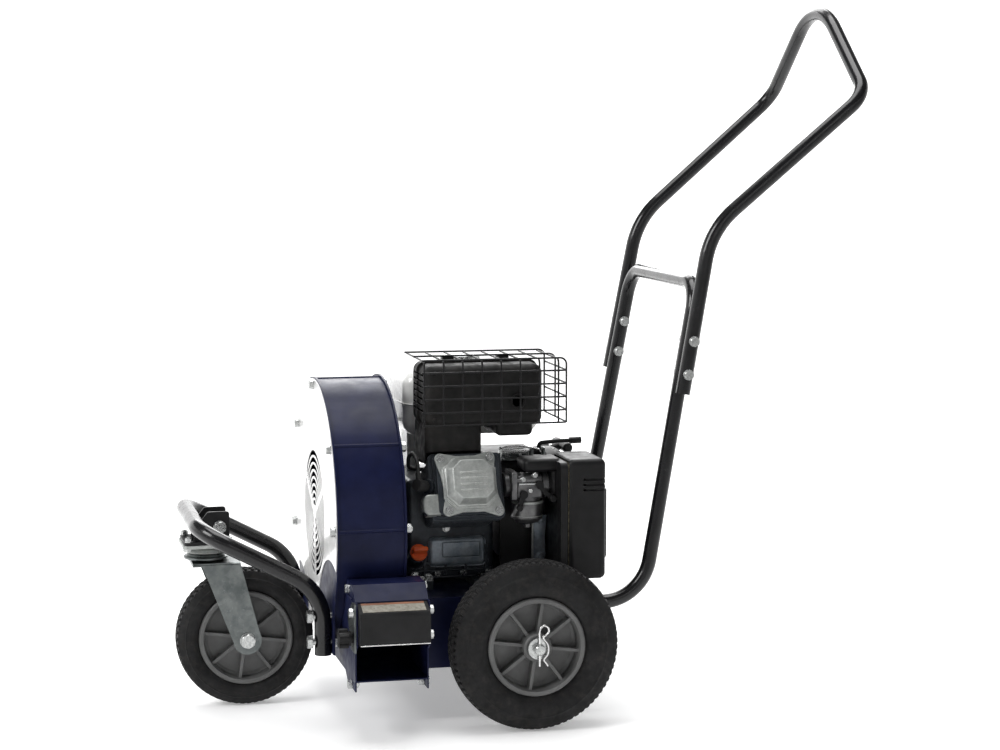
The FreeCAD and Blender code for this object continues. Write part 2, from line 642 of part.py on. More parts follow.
def deflector_hood():
    """Black hood over the top half of the mouth, with slotted cheeks."""
    sheet = 2.0
    x0, x1 = DUCT_X0 + 2.6, DUCT_X1 - 2.6
    face = -300.0
    roof = [(-262, 200.5), (-262, 202.6), (-270, 202.6), (face + 4, 193), (face, 188), (face, 146),
            (face + sheet, 146), (face + sheet, 187.4), (face + 5, 191.2), (-269.5, 200.5)]
    skin = plate_yz(roof, x0, x1)
    cheek_outline = [(-255, 196), (-262, 202.6), (-270, 202.6), (face + 4, 193), (face, 188), (face, 146),
                     (-262, 143)]
    cheeks = [plate_yz(cheek_outline, x, x + sheet) for x in (x0, x1 - sheet)]
    body = fuse([skin] + cheeks)
    pivot = V(x0 - 5, HOOD_PIVOT_Y, HOOD_PIVOT_Z)
    tools = [rod((x0 - 5, HOOD_PIVOT_Y, HOOD_PIVOT_Z), (x1 + 5, HOOD_PIVOT_Y, HOOD_PIVOT_Z), 3.56)]
    reach = HOOD_PIVOT_Z - HOOD_CLAMP_Z
    slot_face = Part.Face(Part.makePolygon([pivot + V(0, 0, -reach - 3.6), pivot + V(0, 0, -reach + 3.6),
                                            pivot + V(150, 0, -reach + 3.6), pivot + V(150, 0, -reach - 3.6),
                                            pivot + V(0, 0, -reach - 3.6)]))
    tools.append(Part.makeSolid(slot_face.revolve(pivot, V(1, 0, 0), HOOD_SWING)))
    tools.append(rod((x0 - 5, HOOD_PIVOT_Y, HOOD_CLAMP_Z), (x1 + 5, HOOD_PIVOT_Y, HOOD_CLAMP_Z), 3.6))
    return cut(body, tools)


def star_knob():
    """Five-lobed clamp knob with its stud."""
    x0, x1 = DUCT_X0 - 25, DUCT_X0 - 7
    y, z = HOOD_PIVOT_Y, HOOD_CLAMP_Z
    core = rod((x0, y, z), (x1, y, z), 11)
    lobes = []
    for k in range(5):
        turn = math.radians(72 * k + 18)
        ly, lz = y + 10.5 * math.cos(turn), z + 10.5 * math.sin(turn)
        lobes.append(rod((x0, ly, lz), (x1 - 4, ly, lz), 4.6))
    collar = rod((x1, y, z), (DUCT_X0 - 3.1, y, z), 7)
    stud = rod((DUCT_X0 - 5, y, z), (DUCT_X0 + 9, y, z), 3.5)
    return fuse([core] + lobes + [collar, stud])


# ---------------------------------------------------------------- rotating assembly

def crankshaft():
    """Straight-line model of the crankshaft: main shaft, two webs and the crankpin."""
    pieces = [rod((-262, 0, CRANK_Z), (-92, 0, CRANK_Z), CRANK_R),
              rod((-68, 0, CRANK_Z), (64, 0, CRANK_Z), CRANK_R),
              rod((-96, 0, CRANK_Z + 27), (-64, 0, CRANK_Z + 27), 13)]
    for x in (-100, -72):
        web = plate_yz([(-14, 40), (14, 40), (34, -20), (22, -38), (-22, -38), (-34, -20)], x, x + 12)
        web.translate(V(0, 0, CRANK_Z))
        pieces.append(web)
    return fuse(pieces)


def impeller():
    """Back disc with twelve radial blades on a hub, open towards the inlet."""
    back = DRUM_BACK - 10
    disc = rod((back - 3, 0, CRANK_Z), (back, 0, CRANK_Z), IMPELLER_R)
    hub = rod((back - 45, 0, CRANK_Z), (back, 0, CRANK_Z), 24)
    blades = []
    outline = [(IMPELLER_R, back), (IMPELLER_R, back - 62), (INLET_R, back - 70), (40, back - 30), (20, back)]
    for k in range(12):
        blade = prism([(x, y, CRANK_Z - 1.5) for y, x in outline], (0, 0, 3))
        blade.rotate(V(0, 0, CRANK_Z), V(1, 0, 0), 30 * k)
        blades.append(blade)
    body = fuse([disc, hub] + blades)
    return cut(body, [rod((-300, 0, CRANK_Z), (-150, 0, CRANK_Z), CRANK_R + 0.02)])


def flywheel():
    """Cast flywheel with cooling vanes and the starter cup."""
    disc = rod((4, 0, CRANK_Z), (22, 0, CRANK_Z), 78)
    hub = rod((0, 0, CRANK_Z), (46, 0, CRANK_Z), 26)
    vanes = []
    for k in range(18):
        vane = box(21, 40, 50, 76, CRANK_Z - 1.6, CRANK_Z + 1.6)
        vane.rotate(V(0, 0, CRANK_Z), V(1, 0, 0), 20 * k)
        vanes.append(vane)
    cup = pipe((40, 0, CRANK_Z), (62, 0, CRANK_Z), 34, 30)
    cup_floor = pipe((40, 0, CRANK_Z), (44, 0, CRANK_Z), 34, 20)
    body = fuse([disc, hub, cup, cup_floor] + vanes)
    return cut(body, [rod((-10, 0, CRANK_Z), (80, 0, CRANK_Z), CRANK_R + 0.02)])


# ---------------------------------------------------------------- engine

def along_cylinder(shape):
    """Move a shape built with the cylinder along +Z from the origin onto the engine."""
    shape = shape.copy()
    shape.rotate(V(0, 0, 0), V(1, 0, 0), 90 - CYLINDER_TILT)
    shape.translate(V(CYLINDER_X, 0, CRANK_Z))
    return shape


def crankcase():
    """Cast case with its finned cylinder, feet and oil filler boss."""
    case = rounded_box(CASE_X0, CASE_X1, -86, 92, 196, 352, 10)
    feet = [box(x - 16, x + 16, -114, 120, DECK_Z, 200) for x in (-138, -42)]
    barrel = along_cylinder(Part.makeCylinder(46, 90, V(0, 0, 56)))
    fins = []
    for k in range(7):
        height = 90 + 8 * k
        fin = rounded_box(-52, 52, -48, 48, height, height + 2.6, 10, (0, 0, 1))
        fins.append(along_cylinder(fin))
    ribs = [box(x, x + 4, -92, -80, 205, 250) for x in (-132, -100, -68, -36)]
    rib_line = box(-140, -30, -92, -80, 222, 226)
    filler = rod((-143, -70, 222), (-143, -104, 242), 14)
    body = fuse([case] + feet + [barrel] + fins + ribs + [rib_line, filler])
    rotor_room = [rod((CASE_X0 - 1, 0, CRANK_Z), (CASE_X1 - 12, 0, CRANK_Z), 49),
                  rod((CASE_X1 - 20, 0, CRANK_Z), (CASE_X1 + 5, 0, CRANK_Z), CRANK_R + 0.05)]
    bore = along_cylinder(Part.makeCylinder(34, 170, V(0, 0, 0)))
    stick = rod((-143, -60, 216), (-143, -110, 245.4), 5.2)
    holes = [hole((x, y, DECK_Z - 5), (0, 0, 1), 40, 8.0) for x, y in engine_feet()]
    return cut(body, rotor_room + [bore, stick] + holes)


def cover_bolts():
    return [(y, CRANK_Z + z) for y in (-46, 46) for z in (-46, 46)]


def crankcase_cover():
    """Bearing cover on the drive side, seated on the housing's back plate."""
    plate = rod((DRUM_BACK, 0, CRANK_Z), (CASE_X0, 0, CRANK_Z), 74)
    spigot = rod((CASE_X0, 0, CRANK_Z), (CASE_X0 + 10, 0, CRANK_Z), 48.6)
    body = fuse([plate, spigot])
    tools = [rod((-200, 0, CRANK_Z), (-100, 0, CRANK_Z), CRANK_R + 0.05)]
    tools += [hole((DRUM_BACK - 1, y, z), (1, 0, 0), 20, 8.0) for y, z in cover_bolts()]
    return cut(body, tools)


def piston():
    """Piston with its ring grooves, standing at the top of the bore."""
    body = Part.makeCylinder(33.8, 46, V(0, 0, 96))
    grooves = [Part.makeCylinder(35, 1.6, V(0, 0, z)).cut(Part.makeCylinder(31.5, 1.6, V(0, 0, z)))
               for z in (128, 132.5, 137)]
    hollow = Part.makeCylinder(28, 34, V(0, 0, 95))
    return along_cylinder(cut(body, grooves + [hollow]))


def cylinder_head():
    """Finned head with the flange that the valve cover sits on."""
    base = rounded_box(-50, 52, -47, 47, 146, 172, 6, (0, 0, 1))
    fins = [rounded_box(-56, 57, -51, 51, z, z + 2.6, 8, (0, 0, 1)) for z in (150, 157, 164)]
    flange = rounded_box(-47, 49, -46, 46, 172, 184, 8, (0, 0, 1))
    along = PLUG_AXIS.normalize()
    plug_boss = Part.makeCylinder(11, 14, PLUG_SEAT - along * 12, along)
    shoulder = rounded_box(-70, -40, -44, -14, 160, 182, 6)
    body = fuse([base] + fins + [flange, plug_boss, shoulder])
    body = body.cut(Part.makeCylinder(5.2, 40, PLUG_SEAT - along * 20, along))
    body = body.cut(Part.makeCylinder(8.8, 40, PLUG_SEAT + along * 4, along))
    return along_cylinder(body)


def valve_cover_corners():
    return [(-33, -40), (43, -42), (-41, 39), (34, 40)]


def valve_cover():
    """Pressed cover: flange with four lugs and a raised octagonal dome with ribs."""
    z0 = 184.1
    flange = rounded_box(-40, 41, -40, 40, z0, z0 + 4, 12, (0, 0, 1))
    lugs = [Part.makeCylinder(9, 4, V(x, y, z0)) for x, y in valve_cover_corners()]
    step = octagon(41, 38, z0 + 3, z0 + 12)
    dome = octagon(35.5, 33.5, z0 + 10, z0 + 24)
    dome = dome.makeFillet(3.0, [e for e in dome.Edges if e.CenterOfMass.z > z0 + 23.9])
    body = fuse([flange] + lugs + [step, dome])
    ribs = [box(-24, 24, y - 1.2, y + 1.2, z0 + 23, z0 + 25.2) for y in (-14, -4, 6, 16)]
    holes = [Part.makeCylinder(3.25, 8, V(x, y, z0 - 2)) for x, y in valve_cover_corners()]
    return along_cylinder(cut(fuse([body] + ribs), holes))


def octagon(half_x, half_y, z0, z1):
    cut_corner = 0.42
    xs, ys = half_x * (1 - cut_corner), half_y * (1 - cut_corner)
    outline = [(half_x, -ys), (half_x, ys), (xs, half_y), (-xs, half_y), (-half_x, ys), (-half_x, -ys),
               (-xs, -half_y), (xs, -half_y)]
    return prism([(x, y, z0) for x, y in outline], (0, 0, z1 - z0))


def engine_bolts():
    """Hold-down bolts, bearing cover bolts and valve cover screws."""
    bolts = [bolt((x, y, 200), (0, 0, -1), 200 - DECK_Z + PLATE, 8.0) for x, y in engine_feet()]
    for y, z in cover_bolts():
        bolts.append(bolt((DRUM_BACK - SHEET, y, z), (1, 0, 0), 18, 8.0, nut=False, washer=False))
    for x, y in valve_cover_corners():
        bolts.append(along_cylinder(bolt((x, y, 188.1), (0, 0, -1), 4, 6.0, nut=False)))
    return together(bolts)


def spark_plug():
    """Plug body in the head and its black boot."""
    along = PLUG_AXIS.normalize()
    body = Part.makeCylinder(5, 24, PLUG_SEAT - along * 8, along)
    boot = Part.makeCylinder(8.5, 20, PLUG_SEAT + along * 8, along)
    elbow = Part.makeCylinder(4.5, BOOT_ELBOW, PLUG_SEAT + along * 22, V(0, 1, 0))
    return along_cylinder(fuse([body, boot, elbow]))


def plug_lead_route():
    """From the plug's boot round the cylinder's fins into the shroud."""
    tip = PLUG_SEAT + PLUG_AXIS.normalize() * 22 + V(0, BOOT_ELBOW, 0)
    start = along_cylinder(Part.Vertex(tip)).Point
    return [tuple(start), (start.x, start.y + 6, start.z + 18), (-157, -136, 402), (-157, -100, 392),
            (-150, -60, 368), (-128, -36, 361), (-95, -28, 360), (-58, -28, 360), (-25, -31, 361),
            (-5, -33, 361)]


def cord_radii(route):
    radii = []
    for a, b, c in zip(route, route[1:], route[2:]):
        first, second = V(*b).sub(V(*a)), V(*c).sub(V(*b))
        turn = first.getAngle(second)
        radii.append(0.45 * min(first.Length, second.Length) / math.tan(turn / 2))
    return radii


def plug_lead():
    route = plug_lead_route()
    return swept(route, cord_radii(route), 3.0)


def muffler():
    """Two-shell silencer box with a step, an outlet and louvres, seated on the head."""
    wall = 2.0
    main = rounded_box(-141, 42, -150, -45, 440, 533, 14)
    step = rounded_box(-30, 27, -146, -50, 424, 452, 8)
    lower = rounded_box(-139, -52, -146, -50, 376, 452, 12)
    seam = rounded_box(-144, 45, -98, -95, 437, 536, 14, (0, 1, 0))
    body = fuse([main, step, lower, seam]).cut(head_room(0))
    hollows = [rounded_box(-139, 40, -148, -47, 442, 531, 12),
               rounded_box(-137, -54, -144, -52, 378, 452, 10),
               rounded_box(-28, 25, -144, -52, 426, 452, 6)]
    room = head_room(wall)
    outlet = rod((1, -155, 478), (1, -130, 478), 9)
    louvres = [box(-150, -138.4, -134, -62, z, z + 3) for z in range(462, 518, 9)]
    shell = cut(body, [h.cut(room) for h in hollows] + [outlet] + louvres)
    baffle = box(-60, -57, -149, -46, 450, 525)
    return fuse([shell, baffle])


def head_room(grow=0.0):
    """Space taken by the cylinder and its head, with a little air round it."""
    return along_cylinder(box(-58 - grow, 60 + grow, -53 - grow, 53 + grow, 60, 190 + grow))


def muffler_guard():
    """Wire basket over the top, near side and rear of the silencer."""
    wire = 1.4
    x0, x1 = -150.0, 74.0
    y0, y1 = -170.0, -34.0
    top, low = 544.0, 446.0
    wires = []
    for z in (low, 465, 485, 505, 525):
        wires.append(swept([(x0, y0, z), (x1, y0, z), (x1, y1, z)], (8,), wire))
    for y in (y0 + 0.6, -102.0, y1):
        wires.append(swept([(x0, y, top), (x1 - 1.5, y, top), (x1 - 1.5, y, low)], (10,), wire))
    for k in range(8):
        x = x0 + 4 + k * 29.5
        wires.append(swept([(x, y0 + 1.5, low), (x, y0 + 1.5, top - 1.5), (x, y1, top - 1.5)], (8,), wire))
    tabs = [box(x - 9, x + 9, -94, -80, 533.2, top - 1) for x in (-94, -8)]
    return fuse(wires + tabs)


def fuel_tank():
    """Moulded tank behind the silencer on two legs from the crankcase."""
    body = rounded_box(-150, 66, -38, 124, 412, 514, 22)
    neck = rod((-44, 46, 510), (-44, 46, 519), 24)
    legs = [box(x - 8, x + 8, 20, 70, 352, 414) for x in (-128, -46)]
    hollow = rounded_box(-146, 62, -34, 120, 416, 510, 18)
    mouth = rod((-44, 46, 505), (-44, 46, 530), 20)
    return cut(fuse([body, neck] + legs), [hollow, mouth])


def fuel_cap():
    cap = rod((-44, 46, 519.3), (-44, 46, 531), 29)
    cap = cap.makeFillet(3.0, [cap.Edges[0]])
    ribs = []
    for k in range(16):
        turn = math.radians(22.5 * k)
        x, y = -44 + 29 * math.cos(turn), 46 + 29 * math.sin(turn)
        ribs.append(rod((x, y, 520), (x, y, 528), 1.6))
    plug = rod((-44, 46, 511), (-44, 46, 522), 19.6)
    return fuse([cap, plug] + ribs)


def carburettor():
    """Die-cast body between the head and the air cleaner."""
    body = rounded_box(-4, 38, -168, -128, 330, 366, 5)
    flange = rounded_box(-12, -4, -171, -125, 328, 372, 4, (1, 0, 0))
    stub = rod((38, -148, 350), (46, -148, 350), 20)
    insulator = rod((-22, -148, 350), (-12, -148, 350), 18)
    post = rod((17, -148, 326), (17, -148, 334), 19.8)
    screws = [rod((x, -160, 366), (x, -160, 370), 3.4) for x in (6, 28)]
    body = fuse([body, flange, stub, insulator.cut(head_room()), post] + screws)
    return cut(body, [rod((-30, -148, 350), (50, -148, 350), 11)])


def float_bowl():
    bowl = turned([(0, 0), (0, 8), (3, 17), (10, 23), (36, 24), (36, 0)], (17, -148, 289.8), (0, 0, 1))
    drain = hex_head((17, -148, 289.8), (0, 0, -1), 10, 6)
    screw = rod((40, -148, 298), (17, -148, 305), 3)
    return fuse([bowl, drain, screw])


def air_cleaner_base():
    """Elbow from the carburettor and the rear half of the filter box."""
    plate = rounded_box(56, 66.7, -202, -106, 214, 388, 9, (1, 0, 0))
    elbow = swept([(46.2, -148, 350), (62, -148, 350)], (), 19)
    hood = rounded_box(6, 64, -176, -120, 371, 391, 8)
    duct = rounded_box(49, 66, -168, -112, 330, 391, 7)
    return cut(fuse([plate, elbow, hood, duct]), [rod((40, -148, 350), (90, -148, 350), 14)])


def air_cleaner_cover():
    """Tall rounded cover with three louvres near its top."""
    shell = rounded_box(67, 126, -206, -106, 210, 393, 9)
    bulge = rounded_box(110, 131, -196, -116, 236, 352, 9)
    louvres = [box(90, 140, -210, -118, z, z + 3.2) for z in (345, 353, 361)]
    skin = cut(fuse([shell, bulge]), [rounded_box(60, 122, -202.5, -109.5, 213.5, 389.5, 6)])
    keep = rounded_box(95, 122.5, -203, -118, 340, 370, 3)
    return fuse([cut(skin, [b.cut(box(94, 124, -203, -100, 300, 380)) for b in louvres]), keep])


def fan_shroud():
    """Sheet shroud round the flywheel with the recoil opening at the rear."""
    outer = rounded_box(-14, 70, -100, 112, 190, 378, 16, (1, 0, 0))
    inner = rounded_box(-20, 67, -97, 109, 193, 375, 14, (1, 0, 0))
    mouth = rod((60, 0, CRANK_Z), (80, 0, CRANK_Z), 70)
    return cut(outer, [inner, mouth, rod((60, 78, 222), (80, 78, 222), 9.5)])


def recoil_housing():
    """Domed recoil starter with louvres and a rope boss."""
    shell = turned([(0, 88), (6, 92), (20, 92), ((34, 86), (42, 70)), (46, 30), (46, 0), (43, 0), (43, 29),
                    (39, 68), ((31.5, 83), (20, 89)), (3, 89), (3, 86), (0, 86)], (70, 0, CRANK_Z), (1, 0, 0))
    slots = []
    for k in range(24):
        slot = box(100, 130, 34, 60, CRANK_Z - 2.2, CRANK_Z + 2.2)
        slot.rotate(V(0, 0, CRANK_Z), V(1, 0, 0), 15 * k + 7)
        slots.append(slot)
    boss = rod((84, 52, 366), (104, 52, 373), 13)
    boss = boss.cut(rod((60, 0, CRANK_Z), (130, 0, CRANK_Z), 89))
    spindle = rod((100, 0, CRANK_Z), (115, 0, CRANK_Z), 14)
    return fuse([cut(shell, slots), boss, spindle])


def recoil_grip():
    """T grip at the rope outlet."""
    start = V(107, 52, 374.05)
    along = V(20, 0, 7).normalize()
    stem = Part.makeCylinder(6.5, 16, start, along)
    bar = rod((124, 12, 380), (124, 92, 380), 8)
    bar = bar.makeFillet(4.0, [e for e in bar.Edges if isinstance(e.Curve, Part.Circle)])
    return fuse([stem, bar])


def engine_switch():
    """Rocker of the stop switch, on the rear of the shroud."""
    body = rod((64, 78, 222), (72, 78, 222), 8)
    rocker = box(72, 78, 74, 82, 212, 232)
    trunnion = rod((68.5, 69, 222), (68.5, 87, 222), 1.5)
    return fuse([body, rocker, trunnion])


def throttle_lever():
    """Bent lever with a rubber sleeve, rocking over the top of the shroud."""
    bar = swept([(50, -78, 391), (55, -78, 403), (84, -78, 405), (102, -78, 405)], (6, 20), 3.2)
    sleeve = rod((102, -78, 405), (120, -78, 405.5), 5.2)
    hub = rod((44, -78, 391), (56, -78, 391), 6.5)
    return cut(fuse([bar, sleeve, hub]), [rod((40, -78, 391), (70, -78, 391), 2.45)])


def governor_linkage():
    """Control plate on the shroud, governor arm, its rod and its spring."""
    plate = box(-4, 62, -92, -60, 378.1, 380.6)
    posts = [box(38, 42, -88, -68, 380, 394), box(58, 61, -88, -68, 380, 394)]
    pin = rod((38, -78, 391), (61, -78, 391), 2.4)
    arm = box(-12, -8, -92, -80, 378.2, 408)
    stand = box(-12, 0, -92, -80, 378.1, 381)
    link = rod((-10, -86, 404), (36, -100, 398), 1.3)
    down = swept([(36, -100, 398), (48, -106, 396), (48, -112, 392)], (3,), 1.3)
    spring = rod((-8, -74, 388), (38, -74, 388), 3.2)
    return fuse([plate, arm, stand, link, down, spring, pin] + posts)


def choke_lever():
    hub = rod((30, -168.4, 352), (30, -176, 352), 6)
    blade = plate_xz([(26, 349), (34, 349), (52, 334), (48, 328)], -176, -173)
    tip = rod((50, -182, 331), (50, -173, 331), 5)
    return fuse([hub, blade, tip])


def fuel_valve_lever():
    hub = rod((6, -168.4, 338), (6, -176, 338), 6)
    blade = plate_xz([(2, 342), (10, 342), (2, 316), (-6, 318)], -176, -173)
    tip = rod((-2, -181, 318), (-2, -173, 318), 4.5)
    return fuse([hub, blade, tip])


def dipstick():
    """Orange oil filler plug with its gauge stick."""
    along = V(0, -0.862, 0.507)
    seat = V(-143, -104, 242) + along * 0.3
    stick = Part.makeCylinder(4.0, 44, seat - along * 42, along)
    collar = Part.makeCylinder(13, 5, seat, along)
    grip = box(-155, -131, -4, 4, 0, 18)
    grip = grip.makeFillet(3.5, [e for e in grip.Edges if e.CenterOfMass.z > 1])
    grip.rotate(V(0, 0, 0), V(1, 0, 0), 59.5)
    grip.translate(V(0, seat.y, seat.z) + along * 4)
    return fuse([stick, collar, grip])


def air_filter():
    """Flat filter element between the filter box's base and its cover."""
    frame = rounded_box(68, 77, -200, -112, 218, 384, 4, (1, 0, 0))
    pleats = [box(72, 80, -196, -116, z, z + 4) for z in range(224, 376, 11)]
    return cut(frame, pleats)


PARTS = {
    "base_frame": base_frame,
    "front_loop_tube": front_loop_tube,
    "caster_bracket": caster_bracket,
    "caster_top_plate": caster_top_plate,
    "kingpin": kingpin,
    "frame_bolts": frame_bolts,
    "lower_handle": lower_handle,
    "upper_handle": upper_handle,
    "handle_bolts": handle_bolts,
    "rear_axle": rear_axle,
    "axle_spacers": axle_spacers,
    "hairpin_clips": hairpin_clips,
    "left_rim": lambda: rear_rim(-1),
    "left_tyre": lambda: rear_tyre(-1),
    "left_bushes": lambda: rear_bushes(-1),
    "right_rim": lambda: rear_rim(1),
    "right_tyre": lambda: rear_tyre(1),
    "right_bushes": lambda: rear_bushes(1),
    "caster_fork": caster_fork,
    "caster_axle_bolt": caster_axle_bolt,
    "caster_rim": caster_rim,
    "caster_tyre": caster_tyre,
    "housing_shell": housing_shell,
    "housing_back_plate": housing_back_plate,
    "housing_front_plate": housing_front_plate,
    "inlet_cover": inlet_cover,
    "housing_bolts": housing_bolts,
    "outlet_duct": outlet_duct,
    "deflector_bracket": deflector_bracket,
    "deflector_hood": deflector_hood,
    "star_knob": star_knob,
    "crankshaft": crankshaft,
    "impeller": impeller,
    "flywheel": flywheel,
    "crankcase": crankcase,
    "crankcase_cover": crankcase_cover,
    "piston": piston,
    "cylinder_head": cylinder_head,
    "valve_cover": valve_cover,
    "engine_bolts": engine_bolts,
    "spark_plug": spark_plug,
    "plug_lead": plug_lead,
    "muffler": muffler,
    "muffler_guard": muffler_guard,
    "fuel_tank": fuel_tank,
    "fuel_cap": fuel_cap,
    "carburettor": carburettor,
    "float_bowl": float_bowl,
    "air_cleaner_base": air_cleaner_base,
    "air_cleaner_cover": air_cleaner_cover,
    "air_filter": air_filter,
    "fan_shroud": fan_shroud,
    "recoil_housing": recoil_housing,
    "recoil_grip": recoil_grip,
    "engine_switch": engine_switch,
    "throttle_lever": throttle_lever,
    "governor_linkage": governor_linkage,
    "choke_lever": choke_lever,
    "fuel_valve_lever": fuel_valve_lever,
    "dipstick": dipstick,
}


def main():
    os.makedirs("parts", exist_ok=True)
    for name, make in PARTS.items():
        shape = make()
        shape.translate(V(-ORIGIN_X, 0, 0))
        if not shape.isValid() or shape.Volume <= 0:
            print("BAD SHAPE", name)
        shape.exportStep(f"parts/{name}.step")
        print(name, round(shape.Volume), len(shape.Solids))


main()
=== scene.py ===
import json
import math

import bmesh
import bpy
from mathutils import Matrix, Vector


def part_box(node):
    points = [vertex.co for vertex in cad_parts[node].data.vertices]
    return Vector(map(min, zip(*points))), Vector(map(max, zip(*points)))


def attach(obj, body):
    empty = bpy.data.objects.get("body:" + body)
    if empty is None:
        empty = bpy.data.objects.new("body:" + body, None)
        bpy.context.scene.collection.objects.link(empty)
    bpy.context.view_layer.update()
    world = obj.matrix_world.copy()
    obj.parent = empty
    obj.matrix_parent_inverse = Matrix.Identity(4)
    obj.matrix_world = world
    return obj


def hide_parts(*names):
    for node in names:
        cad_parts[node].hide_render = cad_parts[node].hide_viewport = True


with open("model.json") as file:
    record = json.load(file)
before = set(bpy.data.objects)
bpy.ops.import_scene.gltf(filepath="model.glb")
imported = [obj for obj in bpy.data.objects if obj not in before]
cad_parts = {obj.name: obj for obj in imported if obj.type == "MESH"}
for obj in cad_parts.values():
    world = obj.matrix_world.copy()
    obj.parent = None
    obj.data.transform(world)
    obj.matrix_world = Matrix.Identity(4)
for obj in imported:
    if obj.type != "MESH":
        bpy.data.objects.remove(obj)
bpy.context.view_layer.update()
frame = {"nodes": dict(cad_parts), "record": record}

# Walk behind leaf blower. Drawing positions below are in millimetres from the rear axle line,
# the same way the CAD source draws them; at() turns them into the row frame in metres.
ORIGIN_X = 18.5
MM = 0.001


def at(x, y, z):
    return Vector(((x - ORIGIN_X) * MM, y * MM, z * MM))


# ---------------------------------------------------------------- materials

class Look:
    """A Principled material whose colour, roughness and bump vary with the position on the piece."""

    def __init__(self, name, metallic=0.0, coat=0.0, coat_rough=0.1, sheen=0.0, specular=0.5):
        self.material = bpy.data.materials.new(name)
        self.material.use_nodes = True
        self.nodes = self.material.node_tree.nodes
        self.links = self.material.node_tree.links
        self.shader = self.nodes["Principled BSDF"]
        self.shader.inputs["Metallic"].default_value = metallic
        self.shader.inputs["Coat Weight"].default_value = coat
        self.shader.inputs["Coat Roughness"].default_value = coat_rough
        self.shader.inputs["Sheen Weight"].default_value = sheen
        self.shader.inputs["Specular IOR Level"].default_value = specular
        self.place = self.nodes.new("ShaderNodeTexCoord").outputs["Object"]
        self.normal = None

    def link(self, out, into):
        self.links.new(out, into)

    def stretched(self, stretch):
        mapping = self.nodes.new("ShaderNodeMapping")
        mapping.inputs["Scale"].default_value = stretch
        self.link(self.place, mapping.inputs["Vector"])
        return mapping.outputs["Vector"]

    def noise(self, size, detail=4.0, rough=0.55, stretch=(1, 1, 1)):
        """Noise whose blobs are about size metres across."""
        node = self.nodes.new("ShaderNodeTexNoise")
        node.inputs["Scale"].default_value = 1.0 / size
        node.inputs["Detail"].default_value = detail
        node.inputs["Roughness"].default_value = rough
        self.link(self.stretched(stretch), node.inputs["Vector"])
        return node.outputs["Fac"]

    def cells(self, size, stretch=(1, 1, 1)):
        node = self.nodes.new("ShaderNodeTexVoronoi")
        node.inputs["Scale"].default_value = 1.0 / size
        self.link(self.stretched(stretch), node.inputs["Vector"])
        grey = self.nodes.new("ShaderNodeSeparateColor")
        self.link(node.outputs["Color"], grey.inputs["Color"])
        return grey.outputs["Red"]

    def ramp(self, value, low, high, lo_at=0.35, hi_at=0.65):
        node = self.nodes.new("ShaderNodeValToRGB")
        node.color_ramp.elements[0].position = lo_at
        node.color_ramp.elements[1].position = hi_at
        node.color_ramp.elements[0].color = (*low, 1)
        node.color_ramp.elements[1].color = (*high, 1)
        self.link(value, node.inputs["Fac"])
        return node.outputs["Color"]

    def span(self, value, low, high):
        node = self.nodes.new("ShaderNodeMapRange")
        node.inputs["From Min"].default_value = 0.3
        node.inputs["From Max"].default_value = 0.7
        node.inputs["To Min"].default_value = low
        node.inputs["To Max"].default_value = high
        self.link(value, node.inputs["Value"])
        return node.outputs["Result"]

    def mixed(self, factor, first, second):
        node = self.nodes.new("ShaderNodeMix")
        node.data_type = "RGBA"
        self.link(factor, node.inputs["Factor"])
        self.link(first, node.inputs["A"])
        if isinstance(second, tuple):
            node.inputs["B"].default_value = (*second, 1)
        else:
            self.link(second, node.inputs["B"])
        return node.outputs["Result"]

    def colour(self, out):
        self.link(out, self.shader.inputs["Base Color"])

    def roughness(self, out):
        self.link(out, self.shader.inputs["Roughness"])

    def bevel(self, radius):
        """Softens the light on sharp sheet and casting edges."""
        node = self.nodes.new("ShaderNodeBevel")
        node.samples = 4
        node.inputs["Radius"].default_value = radius
        self.normal = node.outputs["Normal"]
        self.link(self.normal, self.shader.inputs["Normal"])

    def bump(self, value, strength, distance):
        node = self.nodes.new("ShaderNodeBump")
        node.inputs["Strength"].default_value = strength
        node.inputs["Distance"].default_value = distance
        self.link(value, node.inputs["Height"])
        if self.normal is not None:
            self.link(self.normal, node.inputs["Normal"])
        self.normal = node.outputs["Normal"]
        self.link(self.normal, self.shader.inputs["Normal"])

    def edge(self, radius):
        """1 on the outer edges of the shape, 0 on its faces."""
        rounded = self.nodes.new("ShaderNodeBevel")
        rounded.samples = 4
        rounded.inputs["Radius"].default_value = radius
        flat = self.nodes.new("ShaderNodeNewGeometry").outputs["Normal"]
        dot = self.nodes.new("ShaderNodeVectorMath")
        dot.operation = "DOT_PRODUCT"
        self.link(rounded.outputs["Normal"], dot.inputs[0])
        self.link(flat, dot.inputs[1])
        node = self.nodes.new("ShaderNodeMapRange")
        node.inputs["From Min"].default_value = 0.97
        node.inputs["From Max"].default_value = 0.80
        self.link(dot.outputs["Value"], node.inputs["Value"])
        return node.outputs["Result"]

    def times(self, first, second):
        node = self.nodes.new("ShaderNodeMath")
        node.operation = "MULTIPLY"
        self.link(first, node.inputs[0])
        self.link(second, node.inputs[1])
        return node.outputs["Value"]


def painted(name, dark, light, rough, orange_peel=0.25, coat=0.6, wear_and_highlight=None, bevel=0.0008, specular=0.5):
    """Powder coat or gloss paint: faint orange peel, dust, and where asked a lighter edge that is partly wear
    and partly a painted edge highlight.
    """
    look = Look(name, coat=coat, coat_rough=max(0.04, rough[0] * 0.4), specular=specular)
    tone = look.ramp(look.noise(0.05, 5), dark, light)
    # Lighter edge colour where asked: partly wear, partly a painted edge highlight.
    if wear_and_highlight:
        wear_and_highlight_mask = look.times(look.edge(0.0012), look.span(look.noise(0.008, 6), 0.0, 1.0))
        tone = look.mixed(wear_and_highlight_mask, tone, wear_and_highlight)
    look.colour(tone)
    look.roughness(look.span(look.noise(0.018, 6), *rough))
    look.bevel(bevel)
    look.bump(look.noise(0.0016, 2), orange_peel, 0.0002)
    return look.material


